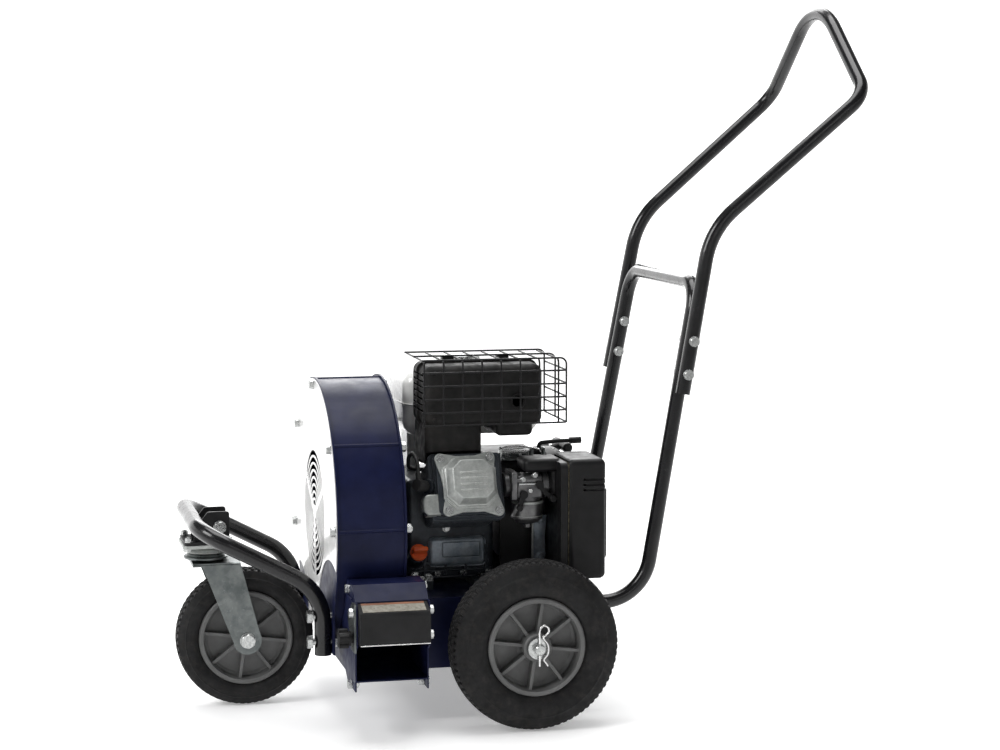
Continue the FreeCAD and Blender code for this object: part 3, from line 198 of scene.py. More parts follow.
def zinc_sheet():
    """Zinc plate on pressed steel: soft spangle and handling marks."""
    look = Look("zinc_sheet", metallic=1.0)
    spangle = look.ramp(look.cells(0.009), (0.105, 0.118, 0.118), (0.165, 0.178, 0.178), 0.0, 1.0)
    blotch = look.ramp(look.noise(0.022, 6), (0.09, 0.10, 0.10), (0.215, 0.228, 0.222))
    look.colour(look.mixed(look.noise(0.05), spangle, blotch))
    look.roughness(look.span(look.noise(0.006, 6), 0.24, 0.46))
    look.bevel(0.0008)
    look.bump(look.noise(0.003, 5), 0.22, 0.0003)
    return look.material


def zinc_bolt():
    look = Look("zinc_bolt", metallic=1.0)
    look.colour(look.ramp(look.noise(0.004, 4), (0.38, 0.39, 0.39), (0.56, 0.57, 0.56)))
    look.roughness(look.span(look.noise(0.0015, 3), 0.16, 0.34))
    look.bevel(0.0005)
    look.bump(look.noise(0.0008, 2), 0.15, 0.0001)
    return look.material


def steel(name, dark, light, rough, stretch=(1, 1, 1)):
    look = Look(name, metallic=1.0)
    look.colour(look.ramp(look.noise(0.003, 4, stretch=stretch), dark, light))
    look.roughness(look.span(look.noise(0.0012, 3, stretch=stretch), *rough))
    look.bevel(0.0005)
    look.bump(look.noise(0.0006, 2, stretch=stretch), 0.15, 0.0001)
    return look.material


def casting(name, dark, light, rough, metallic, grain=0.0014, wear_and_highlight=(0.8, 0.8, 0.78),
            grime=(0.05, 0.05, 0.05)):
    """Die casting: sandy grain, brighter outer edges that are partly rubbed wear and partly a painted edge
    highlight, grime held in the pores.
    """
    look = Look(name, metallic=metallic)
    tone = look.ramp(look.noise(0.02, 6), dark, light)
    # Brighter outer edges: partly rubbed wear, partly a painted edge highlight.
    tone = look.mixed(look.times(look.edge(0.0014), look.span(look.noise(0.006, 5), 0.2, 1.0)), tone, wear_and_highlight)
    pores = look.span(look.noise(0.004, 8, 0.7), 0.0, 0.35)
    look.colour(look.mixed(pores, tone, grime))
    look.roughness(look.span(look.noise(0.005, 5), *rough))
    look.bevel(0.0012)
    look.bump(look.noise(grain, 5), 0.45, 0.0003)
    return look.material


def moulded(name, dark, light, rough, grain=0.0007, strength=0.25, edge=None, specular=0.5):
    """Moulded plastic with a spark-eroded texture."""
    look = Look(name, specular=specular)
    tone = look.ramp(look.noise(0.03, 5), dark, light)
    # edge: a lighter colour along every outer edge, which is a painted edge highlight.
    if edge:
        tone = look.mixed(look.edge(0.001), tone, edge)
    look.colour(tone)
    look.roughness(look.span(look.noise(0.012, 5), *rough))
    look.bevel(0.0009)
    look.bump(look.noise(grain, 3), strength, 0.00015)
    return look.material


def tyre_rubber():
    look = Look("tyre_rubber", sheen=0.04, specular=0.2)
    rubber = look.ramp(look.noise(0.04, 6), (0.006, 0.006, 0.0065), (0.015, 0.015, 0.0155))
    dust = look.span(look.noise(0.012, 8, 0.7), -0.10, 0.12)
    look.colour(look.mixed(dust, rubber, (0.10, 0.085, 0.07)))
    look.roughness(look.span(look.noise(0.008, 6), 0.5, 0.78))
    look.bump(look.noise(0.0009, 4), 0.3, 0.0002)
    return look.material


def hot_black():
    """Heat resistant matt paint, greyed and slightly browned where the case runs hottest."""
    look = Look("hot_black", specular=0.2)
    base = look.ramp(look.noise(0.03, 7), (0.005, 0.005, 0.005), (0.015, 0.0145, 0.014))
    burnt = look.span(look.noise(0.06, 3), -0.2, 0.2)
    look.colour(look.mixed(burnt, base, (0.03, 0.024, 0.02)))
    look.roughness(look.span(look.noise(0.01, 6), 0.42, 0.72))
    look.bevel(0.0015)
    look.bump(look.noise(0.0011, 5), 0.4, 0.0002)
    return look.material


def foam():
    look = Look("filter_foam", sheen=0.2)
    look.colour(look.ramp(look.cells(0.0016), (0.08, 0.07, 0.04), (0.26, 0.23, 0.15), 0.1, 0.9))
    look.roughness(look.span(look.noise(0.002, 3), 0.8, 0.95))
    look.bump(look.cells(0.0016), 0.8, 0.0008)
    return look.material


def label_film():
    """Blank printed film: cream ground and faint scuffs."""
    look = Look("label_film", coat=0.4)
    ground = look.ramp(look.noise(0.006, 6), (0.20, 0.185, 0.15), (0.34, 0.32, 0.27))
    look.colour(look.mixed(look.span(look.noise(0.002, 6), -0.25, 0.25), ground, (0.45, 0.40, 0.33)))
    look.roughness(look.span(look.noise(0.004, 4), 0.25, 0.45))
    look.bump(look.noise(0.003, 3), 0.1, 0.0001)
    return look.material


def studio_floor():
    look = Look("studio_floor")
    look.colour(look.ramp(look.noise(0.6, 3), (0.86, 0.86, 0.86), (0.90, 0.90, 0.90)))
    look.roughness(look.span(look.noise(0.3, 3), 0.7, 0.85))
    depth = look.nodes.new("ShaderNodeSeparateXYZ")
    look.link(look.place, depth.inputs["Vector"])
    glow = look.nodes.new("ShaderNodeMapRange")
    glow.inputs["From Min"].default_value = -2.6
    glow.inputs["From Max"].default_value = 9.0
    glow.inputs["To Min"].default_value = 0.06
    glow.inputs["To Max"].default_value = 1.05
    look.link(depth.outputs["Y"], glow.inputs["Value"])
    look.shader.inputs["Emission Color"].default_value = (1, 1, 1, 1)
    look.link(glow.outputs["Result"], look.shader.inputs["Emission Strength"])
    return look.material


LOOKS = {
    "navy_paint": painted("navy_paint", (0.0055, 0.0075, 0.030), (0.009, 0.012, 0.046), (0.30, 0.46),
                          coat=0.03, specular=0.13),
    "black_gloss": painted("black_gloss", (0.004, 0.004, 0.0045), (0.008, 0.008, 0.009), (0.16, 0.30), 0.3,
                           coat=0.3, specular=0.3),
    "black_satin": painted("black_satin", (0.006, 0.006, 0.0065), (0.013, 0.013, 0.014), (0.34, 0.52), 0.35,
                           coat=0.06, wear_and_highlight=(0.04, 0.04, 0.04), specular=0.22),
    "white_paint": painted("white_paint", (0.84, 0.84, 0.83), (0.88, 0.88, 0.87), (0.16, 0.3)),
    "tank_white": painted("tank_white", (0.80, 0.80, 0.78), (0.86, 0.86, 0.84), (0.22, 0.36), bevel=0.002),
    "zinc": zinc_bolt(),
    "zinc_sheet": zinc_sheet(),
    "spring_steel": steel("spring_steel", (0.60, 0.60, 0.60), (0.85, 0.85, 0.84), (0.14, 0.3)),
    "steel": steel("machined_steel", (0.40, 0.40, 0.41), (0.62, 0.62, 0.62), (0.2, 0.36), (8, 1, 1)),
    "cast_metal": casting("cast_metal", (0.11, 0.11, 0.114), (0.24, 0.24, 0.24), (0.32, 0.52), 0.8),
    "cast_grey": casting("cast_grey", (0.018, 0.023, 0.031), (0.040, 0.049, 0.060), (0.3, 0.5), 0.3,
                         wear_and_highlight=(0.16, 0.18, 0.20), grime=(0.01, 0.01, 0.01)),
    "cast_silver": casting("cast_silver", (0.38, 0.40, 0.385), (0.54, 0.56, 0.54), (0.34, 0.52), 0.6),
    "cast_panel": casting("cast_panel", (0.20, 0.24, 0.28), (0.34, 0.38, 0.43), (0.3, 0.48), 0.5,
                          wear_and_highlight=(0.5, 0.54, 0.58)),
    "heat_black": hot_black(),
    "grey_plastic": moulded("grey_plastic", (0.090, 0.091, 0.090), (0.122, 0.123, 0.122), (0.4, 0.56),
                            edge=(0.19, 0.19, 0.19)),
    "black_plastic": moulded("black_plastic", (0.0045, 0.0045, 0.005), (0.009, 0.009, 0.0095), (0.34, 0.5),
                             specular=0.22),
    "rubber_black": moulded("rubber_black", (0.010, 0.010, 0.010), (0.020, 0.020, 0.020), (0.45, 0.6),
                            0.0015),
    "orange_plastic": moulded("orange_plastic", (0.62, 0.075, 0.012), (0.80, 0.13, 0.025), (0.3, 0.45)),
    "red_plastic": moulded("red_plastic", (0.42, 0.015, 0.012), (0.55, 0.03, 0.02), (0.3, 0.45)),
    "filter_foam": foam(),
    "tyre": tyre_rubber(),
    "label": label_film(),
    "label_rust": moulded("label_rust", (0.20, 0.075, 0.035), (0.30, 0.12, 0.06), (0.3, 0.5)),
}

# CAD nodes whose look differs from their slot's
NODE_LOOKS = {
    "caster_fork": "zinc_sheet",
    # caster_top_plate: the zinc plate gets the lighter, less metallic cast-silver look so that it shows
    # bright, which is its bright reflection painted in.
    "caster_top_plate": "cast_silver",
    "deflector_bracket": "zinc_sheet",
    "cylinder_head": "cast_grey",
    "carburettor": "cast_metal",
}


def dress_cad():
    slots = {part["node"]: part["material_slot"] for part in frame["record"]["subparts"]}
    for name, obj in frame["nodes"].items():
        look = LOOKS[NODE_LOOKS.get(name, slots[name])]
        obj.data.materials.clear()
        obj.data.materials.append(look)
        for polygon in obj.data.polygons:
            polygon.material_index = 0


# ---------------------------------------------------------------- mesh helpers

def piece(name, bm, look, body, angle=35.0):
    """Mesh object from a bmesh, smooth-shaded up to an angle, riding on a body."""
    bmesh.ops.remove_doubles(bm, verts=bm.verts, dist=1e-7)
    bmesh.ops.recalc_face_normals(bm, faces=bm.faces)
    mesh = bpy.data.meshes.new(name)
    bm.to_mesh(mesh)
    bm.free()
    mesh.materials.append(LOOKS[look])
    mesh.polygons.foreach_set("use_smooth", [True] * len(mesh.polygons))
    mesh.set_sharp_from_angle(angle=math.radians(angle))
    obj = bpy.data.objects.new(name, mesh)
    bpy.context.scene.collection.objects.link(obj)
    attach(obj, body)
    return obj


def basis(direction):
    along = Vector(direction).normalized()
    hint = Vector((0, 0, 1)) if abs(along.z) < 0.9 else Vector((1, 0, 0))
    side = along.cross(hint).normalized()
    return along, side, along.cross(side).normalized()


def bridge(bm, first, second, closed=True):
    count = len(first)
    for k in range(count if closed else count - 1):
        bm.faces.new((first[k], first[(k + 1) % count], second[(k + 1) % count], second[k]))


def tube(bm, points, radius, sides=14, closed=False):
    """Round wire along points, with frames carried along so that it doesn't twist."""
    points = [Vector(p) for p in points]
    count = len(points)
    headings = []
    for k in range(count):
        before = points[k - 1] if (k or closed) else points[k]
        after = points[(k + 1) % count] if (k < count - 1 or closed) else points[k]
        headings.append((after - before).normalized())
    side = basis(headings[0])[1]
    rings = []
    for point, heading in zip(points, headings):
        side = (side - heading * side.dot(heading)).normalized()
        other = heading.cross(side)
        ring = []
        for k in range(sides):
            turn = 2 * math.pi * k / sides
            ring.append(bm.verts.new(point + (side * math.cos(turn) + other * math.sin(turn)) * radius))
        rings.append(ring)
    for first, second in zip(rings, rings[1:]):
        bridge(bm, first, second)
    if closed:
        shift = min(range(sides), key=lambda s: (rings[-1][0].co - rings[0][s].co).length)
        bridge(bm, rings[-1], rings[0][shift:] + rings[0][:shift])
    else:
        bm.faces.new(rings[0])
        bm.faces.new(rings[-1])


def eased(points, steps=6):
    """Smooth curve through the points."""
    points = [Vector(p) for p in points]
    ends = [points[0] * 2 - points[1]] + points + [points[-1] * 2 - points[-2]]
    out = []
    for a, b, c, d in zip(ends, ends[1:], ends[2:], ends[3:]):
        for k in range(steps):
            t = k / steps
            out.append(0.5 * ((2 * b) + (c - a) * t + (2 * a - 5 * b + 4 * c - d) * t * t
                              + (3 * b - a - 3 * c + d) * t ** 3))
    out.append(points[-1])
    return out


def coil(bm, start, end, radius, wire, turns, hook=True):
    """Tension spring with its ends drawn in to the axis."""
    start, end = Vector(start), Vector(end)
    along, side, other = basis(end - start)
    length = (end - start).length
    steps = int(turns * 14)
    points = []
    for k in range(steps + 1):
        share = k / steps
        turn = 2 * math.pi * turns * share
        reach = radius * min(1.0, 12 * share + 0.05, 12 * (1 - share) + 0.05) if hook else radius
        around = side * math.cos(turn) + other * math.sin(turn)
        points.append(start + along * length * share + around * reach)
    tube(bm, points, wire, 7)


def lathe(bm, profile, centre, axis, segments=48):
    """Closed solid from (along, radius) points turned about an axis."""
    along, side, other = basis(axis)
    centre = Vector(centre)
    rings = []
    for distance, radius in profile:
        if radius < 1e-7:
            rings.append([bm.verts.new(centre + along * distance)])
            continue
        ring = []
        for k in range(segments):
            turn = 2 * math.pi * k / segments
            ring.append(bm.verts.new(centre + along * distance
                                     + (side * math.cos(turn) + other * math.sin(turn)) * radius))
        rings.append(ring)
    for first, second in zip(rings, rings[1:]):
        if len(first) == 1 and len(second) == 1:
            continue
        if len(first) == 1:
            for k in range(segments):
                bm.faces.new((first[0], second[k], second[(k + 1) % segments]))
        elif len(second) == 1:
            for k in range(segments):
                bm.faces.new((second[0], first[k], first[(k + 1) % segments]))
        else:
            bridge(bm, first, second)


def lathe_mm(bm, profile, centre, axis, segments=48):
    lathe(bm, [(a * MM, r * MM) for a, r in profile], at(*centre), axis, segments)


def plate(bm, outline, push, bevel=0.0005, segments=2):
    """Flat plate: outline of points in metres pushed along a vector, with eased edges."""
    push = Vector(push)
    first = [bm.verts.new(p) for p in outline]
    second = [bm.verts.new(Vector(p) + push) for p in outline]
    made = [bm.faces.new(first), bm.faces.new(second)]
    count = len(outline)
    for k in range(count):
        made.append(bm.faces.new((first[k], first[(k + 1) % count], second[(k + 1) % count], second[k])))
    if bevel:
        edges = list({e for f in made[:2] for e in f.edges})
        bmesh.ops.recalc_face_normals(bm, faces=made)
        bmesh.ops.bevel(bm, geom=edges, offset=bevel, segments=segments, affect="EDGES", profile=0.5)


def loft(bm, low, high, bevel, segments):
    """Tapered boss between two outlines with the same number of points, its upper edges eased."""
    first, second = ([bm.verts.new(p) for p in ring] for ring in (low, high))
    made = [bm.faces.new(first), bm.faces.new(second)]
    count = len(low)
    for k in range(count):
        made.append(bm.faces.new((first[k], first[(k + 1) % count], second[(k + 1) % count], second[k])))
    edges = list({e for f in made for e in f.edges if e not in made[0].edges})
    bmesh.ops.recalc_face_normals(bm, faces=made)
    bmesh.ops.bevel(bm, geom=edges, offset=bevel, segments=segments, affect="EDGES", profile=0.5)


def block(bm, x0, x1, y0, y1, z0, z1, bevel=1.0, segments=3):
    """Box in drawing millimetres with all its edges rounded."""
    low, high = at(x0, y0, z0), at(x1, y1, z1)
    grown = bmesh.ops.create_cube(bm, size=1.0)["verts"]
    for v in grown:
        v.co = Vector([low[k] + (v.co[k] + 0.5) * (high[k] - low[k]) for k in range(3)])
    edges = list({e for v in grown for e in v.link_edges})
    bmesh.ops.bevel(bm, geom=edges, offset=bevel * MM, segments=segments, affect="EDGES", profile=0.5)


def hexagon(bm, base, axis, across, height, washer=0.0):
    """Hex head or nut with a chamfered crown, on an optional washer. Sizes in millimetres."""
    along, side, other = basis(axis)
    base = Vector(base)
    if washer:
        lathe(bm, [(0, 0), (0, washer * MM * 0.96), (0.0004, washer * MM), (0.0012, washer * MM),
                   (0.0016, washer * MM * 0.95), (0.0016, 0)], base, axis, 32)
        base = base + along * 0.0016
    corner = across / math.sqrt(3) * MM
    rings = []
    for share, scale in ((0, 1.0), (0.78, 1.0), (1.0, 0.88)):
        ring = []
        for k in range(6):
            turn = math.radians(60 * k)
            ring.append(bm.verts.new(base + along * height * MM * share
                                     + (side * math.cos(turn) + other * math.sin(turn)) * corner * scale))
        rings.append(ring)
    for first, second in zip(rings, rings[1:]):
        bridge(bm, first, second)
    bm.faces.new(rings[0])
    bm.faces.new(rings[-1])


# ---------------------------------------------------------------- wheels

def tyre(name, node, rim_node, body, blocks):
    """Moulded tyre: ringed sidewalls and a zigzag block tread cut into the band."""
    low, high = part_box(node)
    centre = (low + high) / 2
    radius = (high.z - low.z) / 2
    half = (high.y - low.y) / 2
    rim_low, rim_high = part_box(rim_node)
    rim = (rim_high.z - rim_low.z) / 2 + 0.0002
    wall = radius - rim
    steps = 8
    segments = blocks * steps
    band = 0.74
    across = 26
    section = []
    side_curve = eased([(band * half, radius - wall * 0.055, 0), (0.86 * half, rim + wall * 0.80, 0),
                        (0.965 * half, rim + wall * 0.60, 0), (half, rim + wall * 0.42, 0),
                        (0.95 * half, rim + wall * 0.20, 0), (0.80 * half, rim + wall * 0.05, 0),
                        (0.74 * half, rim, 0)], 5)
    for k, point in enumerate(side_curve[1:], 1):
        share = k / (len(side_curve) - 1)
        ring = 0.0007 if 0.30 < share < 0.36 or 0.78 < share < 0.84 else 0.0
        section.append((point.x + ring, point.y + ring * 0.6, None))
    tread = []
    for k in range(across + 1):
        u = -band + 2 * band * k / across
        tread.append((u * half, radius - wall * 0.055 * abs(u / band) ** 3, u / band))
    left = [(-y, r, None) for y, r, _ in reversed(section)]
    profile = left + tread + section
    bm = bmesh.new()
    rings = []
    for s in range(segments):
        turn = 2 * math.pi * s / segments
        ring = []
        for y, r, u in profile:
            if u is not None:
                r -= tread_cut(s / steps, u)
            ring.append(bm.verts.new(centre + Vector((r * math.cos(turn), y, r * math.sin(turn)))))
        rings.append(ring)
    for s in range(segments):
        bridge(bm, rings[s], rings[(s + 1) % segments], closed=True)
    obj = piece(name, bm, "tyre", body, 28)
    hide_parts(node)
    return obj


def tread_cut(block, u):
    """Depth of the tread's grooves at a place counted in blocks round and -1 to 1 across."""
    depth = 0.0030
    width = abs(u)
    if 0.20 < width < 0.27 or 0.60 < width < 0.67:
        return depth
    row = 0 if width < 0.20 else (1 if width < 0.63 else 2)
    lean = abs((u * 2.2) % 1.0 - 0.5) * 1.1
    place = (block + lean + 0.5 * row) % 1.0
    if row == 2:
        place = (block + 0.25 + 0.5 * (u > 0)) % 1.0
        return depth * (1.15 if place < 0.36 else 0.0)
    return depth if place < 0.24 else 0.0


def hairpin(name, y):
    """R-clip: straight leg down through the axle, eye on top, bowed leg round the outside."""
    axle = 127.0
    route = [(0.0, -25), (0.0, -8), (0.0, 8), (-0.2, 18), (-0.5, 25), (1.5, 32), (7, 35.5), (12.8, 32),
             (13.6, 26), (9.5, 21.5), (5.6, 18.2), (7.4, 13.5), (11.6, 8), (13.2, 0), (11.6, -8),
             (7.2, -13.5), (6.6, -16.5), (9.6, -20.5), (12.6, -25)]
    points = eased([at(x, y, axle + z) for x, z in route], 7)
    bm = bmesh.new()
    tube(bm, points, 0.0016, 12)
    return piece(name, bm, "spring_steel", "chassis", 60)


def wheels():
    tyre("left_tyre_tread", "left_tyre", "left_rim", "left_wheel", 76)
    tyre("right_tyre_tread", "right_tyre", "right_rim", "right_wheel", 76)
    tyre("caster_tyre_tread", "caster_tyre", "caster_rim", "caster_wheel", 64)
    near = hairpin("hairpin_left", -295)
    far = hairpin("hairpin_right", 295)
    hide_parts("hairpin_clips")
    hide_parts("hairpin_clips")


# ---------------------------------------------------------------- outlet and drum

def outlet_details():
    """Blank label with its rust-coloured strip, and a bright steel strip along the hood's lower edge that is
    a painted highlight.
    """
    bm = bmesh.new()
    slope_a, slope_b = at(-262, -271.5, 202.35), at(-262, -294.0, 194.0)
    width = Vector((0.093, 0, 0))
    up = (slope_b - slope_a).cross(width).normalized() * 0.0005
    if up.z < 0:
        up = -up
    plate(bm, [slope_a, slope_a + width, slope_b + width, slope_b], up, 0.0001, 1)
    piece("hood_label", bm, "label", "deflector", 30)

    bm = bmesh.new()
    strip_b = slope_a + (slope_b - slope_a) * 0.2
    lift = up * 1.05
    strip = [slope_a + lift, slope_a + width + lift, strip_b + width + lift, strip_b + lift]
    plate(bm, strip, up * 0.3, 0, 1)
    piece("hood_label_edge", bm, "label_rust", "deflector", 30)

    bm = bmesh.new()
    # A bright steel strip that paints the highlight along the hood's lower edge.
    block(bm, -267, -164, -300.8, -298.8, 145.6, 147.4, 0.5, 2)
    piece("hood_lower_edge_highlight", bm, "spring_steel", "deflector", 30)


def weld(name, points, body="chassis", look="navy_paint", size=1.9):
    """Weld bead: a low rippled fillet along a seam."""
    path = eased([at(*p) for p in points], 10)
    bm = bmesh.new()
    total = sum((b - a).length for a, b in zip(path, path[1:]))
    count = max(6, int(total / 0.0016))
    samples, walked, k = [], 0.0, 0
    for n in range(count + 1):
        goal = total * n / count
        while k < len(path) - 2 and walked + (path[k + 1] - path[k]).length < goal:
            walked += (path[k + 1] - path[k]).length
            k += 1
        step = (path[k + 1] - path[k]).length or 1.0
        samples.append(path[k].lerp(path[k + 1], min(1.0, (goal - walked) / step)))
    along = basis(samples[1] - samples[0])
    rings = []
    for n, point in enumerate(samples):
        heading = (samples[min(n + 1, count)] - samples[max(n - 1, 0)]).normalized()
        side = (along[1] - heading * along[1].dot(heading)).normalized()
        other = heading.cross(side)
        swell = size * MM * (1.0 + 0.16 * math.sin(n * 2.1) + 0.07 * math.sin(n * 0.9 + 1.3))
        ring = []
        for s in range(8):
            turn = 2 * math.pi * s / 8
            ring.append(bm.verts.new(point + (side * math.cos(turn) + other * math.sin(turn)) * swell))
        rings.append(ring)
    for first, second in zip(rings, rings[1:]):
        bridge(bm, first, second)
    bm.faces.new(rings[0])
    bm.faces.new(rings[-1])
    return piece(name, bm, look, body, 80)


def welds():
    for name, x in (("weld_duct_top_front", -270.5), ("weld_duct_top_rear", -160.5)):
        weld(name, [(x, y, 205.5) for y in (-205, -228, -250)], size=1.5)
    for side, y in (("left", -1), ("right", 1)):
        weld(f"weld_cheek_{side}", [(-474, y * 27.2, 262), (-450, y * 27.2, 262), (-426, y * 27.2, 262)],
             look="black_satin", size=1.6)


# ---------------------------------------------------------------- engine

def governor():
    """Control plate, pivot, governor arm, its rod and the two springs."""
    bm = bmesh.new()
    block(bm, -4, 62, -92, -60, 378.2, 380.6, 0.8, 2)
    block(bm, -4, 40, -62.4, -60, 378.2, 388, 0.8, 2)
    for x0, x1 in ((38.4, 41.6), (58.0, 61.0)):
        outline = [at(x0, y, z) for y, z in ((-88, 379), (-68, 379), (-69.5, 391), (-72, 395.5), (-78, 397.4),
                                             (-84, 395.5), (-86.5, 391))]
        plate(bm, outline, Vector(((x1 - x0) * MM, 0, 0)), 0.0005)
    base = piece("governor_plate", bm, "zinc_sheet", "chassis")

    bm = bmesh.new()
    outline = [at(-12, y, z) for y, z in ((-92, 379), (-80, 379), (-80, 391), (-82, 397), (-86, 399.5),
                                          (-90, 397), (-92, 391))]
    plate(bm, outline, Vector((0.003, 0, 0)), 0.0005)
    lathe_mm(bm, [(0, 0), (0, 4.2), (1, 4.6), (4, 4.6), (5, 4.0), (5, 0)], (-13.5, -86, 386), (1, 0, 0), 28)
    arm = piece("governor_arm", bm, "zinc", "chassis")

    bm = bmesh.new()
    lathe_mm(bm, [(0, 0), (0, 2.3), (25, 2.3), (25, 0)], (36, -78, 391), (1, 0, 0), 24)
    lathe_mm(bm, [(0, 0), (0, 4.2), (1.4, 4.2), (1.8, 3.4), (1.8, 0)], (61.2, -78, 391), (1, 0, 0), 24)
    for x, y in ((4, -70), (26, -70)):
        hexagon(bm, at(x, y, 380.6), (0, 0, 1), 8, 4, 6)
    pin = piece("governor_pivot", bm, "zinc", "chassis")

    bm = bmesh.new()
    rod = [(-13, -86, 396), (-8, -86, 397), (-2, -88, 399.5), (14, -93, 401), (32, -99, 399),
           (43, -103, 397.5), (47, -105.5, 396), (48, -107.5, 392.5)]
    tube(bm, eased([at(*p) for p in rod], 6), 0.0012, 10)
    link = piece("governor_rod", bm, "spring_steel", "chassis", 60)

    bm = bmesh.new()
    coil(bm, at(-9, -74, 389), at(38.6, -74, 389), 0.0029, 0.00055, 26)
    spring = piece("governor_spring", bm, "spring_steel", "chassis", 60)

    bm = bmesh.new()
    coil(bm, at(-9, -86.5, 396), at(28, -98, 399.6), 0.0026, 0.00045, 22)
    second = piece("throttle_link_spring", bm, "spring_steel", "chassis", 60)
    for obj in (base, arm, pin, link, spring, second):
        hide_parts("governor_linkage")


def carburettor_details():
    """Gaskets, boss with the fuel spigot, plate edge, screws with springs, and float bowl beads."""
    bm = bmesh.new()
    for x0 in (-22.6, -13.4):
        outline = []
        for k in range(28):
            turn = 2 * math.pi * k / 28
            bulge = 1.0 + 0.18 * abs(math.cos(turn)) ** 6
            outline.append(at(x0, -148 + 24.5 * bulge * math.cos(turn), 350 + 18.5 * math.sin(turn)))
        plate(bm, outline, Vector((0.0011, 0, 0)), 0.0002, 1)
    piece("carburettor_gaskets", bm, "rubber_black", "chassis")

    bm = bmesh.new()
    block(bm, -6, 34, -171.2, -167.6, 357, 361.5, 0.9, 2)
    lathe_mm(bm, [(0, 0), (0, 3.6), (1, 4.2), (9, 4.2), (10, 3.4), (12, 3.0), (20, 3.0), (21.5, 3.5),
                  (23, 2.4), (23, 0)], (-1, -166, 322), (-0.55, -0.35, -0.8), 28)
    piece("carburettor_bosses", bm, "cast_metal", "chassis")

    bm = bmesh.new()
    block(bm, -2, 33, -173.0, -168.2, 352.6, 355.0, 0.6, 2)
    piece("carburettor_plate_edge", bm, "zinc", "chassis")

    bm = bmesh.new()
    for x, y, z in ((4, -170, 360), (22, -170, 366)):
        lathe_mm(bm, [(0, 0), (0, 1.6), (9, 1.6), (9, 3.6), (9.6, 4.1), (13, 4.1), (13.8, 3.4), (13.8, 0)],
                 (x, y + 4, z), (0, -1, 0.12), 26)
    lathe_mm(bm, [(0, 0), (0, 3.2), (0.5, 3.7), (2.4, 3.7), (3, 3.0), (3, 0)], (17, -168, 343),
             (0, -1, 0), 26)
    piece("carburettor_screws", bm, "zinc", "chassis")

    bm = bmesh.new()
    for x, z in ((4, 360), (22, 366)):
        coil(bm, at(x, -166.5, z), at(x, -175, z + 1), 0.0026, 0.0005, 7, hook=False)
    piece("idle_screw_springs", bm, "spring_steel", "chassis", 60)

    bm = bmesh.new()
    lathe_mm(bm, [(0, 23.2), (0.4, 24.2), (2.2, 24.6), (4.0, 24.2), (4.4, 23.2)], (17, -148, 321.6),
             (0, 0, 1), 56)
    lathe_mm(bm, [(0, 22.0), (0.6, 23.5), (1.6, 23.7), (2.4, 22.6)], (17, -148, 301.5), (0, 0, 1), 56)
    piece("float_bowl_bead", bm, "cast_silver", "chassis")


def silver_strip():
    """Bright stay between the carburettor and the deck, with its screws."""
    bm = bmesh.new()
    outline = [at(x, -117, z) for x, z in ((33, 296), (56, 296), (53, 262), (54, 232), (50, 226), (38, 226),
                                           (34, 232), (36, 262))]
    plate(bm, outline, Vector((0, 0.003, 0)), 0.0006)
    for x, z in ((44.5, 289), (44.5, 233)):
        hexagon(bm, at(x, -117, z), (0, -1, 0), 8, 4, 6)
    piece("carburettor_stay", bm, "cast_panel", "chassis")
    bm = bmesh.new()
    block(bm, 31.2, 33.8, -122.0, -116.0, 228, 296, 0.6, 2)
    piece("carburettor_stay_flange", bm, "cast_silver", "chassis")


def crankcase_details():
    """Raised side panel, ledge, screws and drain plug on the near side of the case."""
    bm = bmesh.new()
    block(bm, -150, -24, -93.0, -85, 210.5, 213.5, 1.4, 3)
    block(bm, -150, -24, -90.5, -85, 199, 203, 1.4, 3)
    for x in (-146, -110, -70, -30):
        lathe_mm(bm, [(0, 0), (0, 7.4), (4.4, 6.6), (5.4, 5.6), (5.4, 0)], (x, -85.5, 207.5), (0, -1, 0), 32)
    piece("crankcase_ribs", bm, "cast_grey", "chassis")

    bm = bmesh.new()
    block(bm, -125, -35, -93.5, -84, 217.5, 263, 8.0, 6)
    block(bm, -104, -44, -95.0, -92, 232, 256, 2.8, 5)
    piece("crankcase_panel", bm, "cast_panel", "chassis")

    bm = bmesh.new()
    for x in (-146, -110, -70, -30):
        hexagon(bm, at(x, -90.6, 207.5), (0, -1, 0), 8, 4.4, 5.4)
    hexagon(bm, at(-96, -86, 276), (0, -1, 0), 8, 5, 6)
    hexagon(bm, at(-127, -97, 200), (0, -1, 0), 12, 8, 9)
    piece("crankcase_screws", bm, "zinc", "chassis")


def on_head(x, y, z):
    """A point of the tilted cylinder's own drawing, whose +Z runs out along the bore."""
    tilt = math.radians(70)
    return at(x - 80, y * math.cos(tilt) - z * math.sin(tilt), 294 + y * math.sin(tilt) + z * math.cos(tilt))


def octagon(half_x, half_y, centre, z, raised=0):
    corner = 0.58
    points = [(half_x, -half_y * corner), (half_x, half_y * corner), (half_x * corner, half_y),
              (-half_x * corner, half_y), (-half_x, half_y * corner), (-half_x, -half_y * corner),
              (-half_x * corner, -half_y), (half_x * corner, -half_y)]
    return [on_head(centre + x, raised + y, z) for x, y in points]


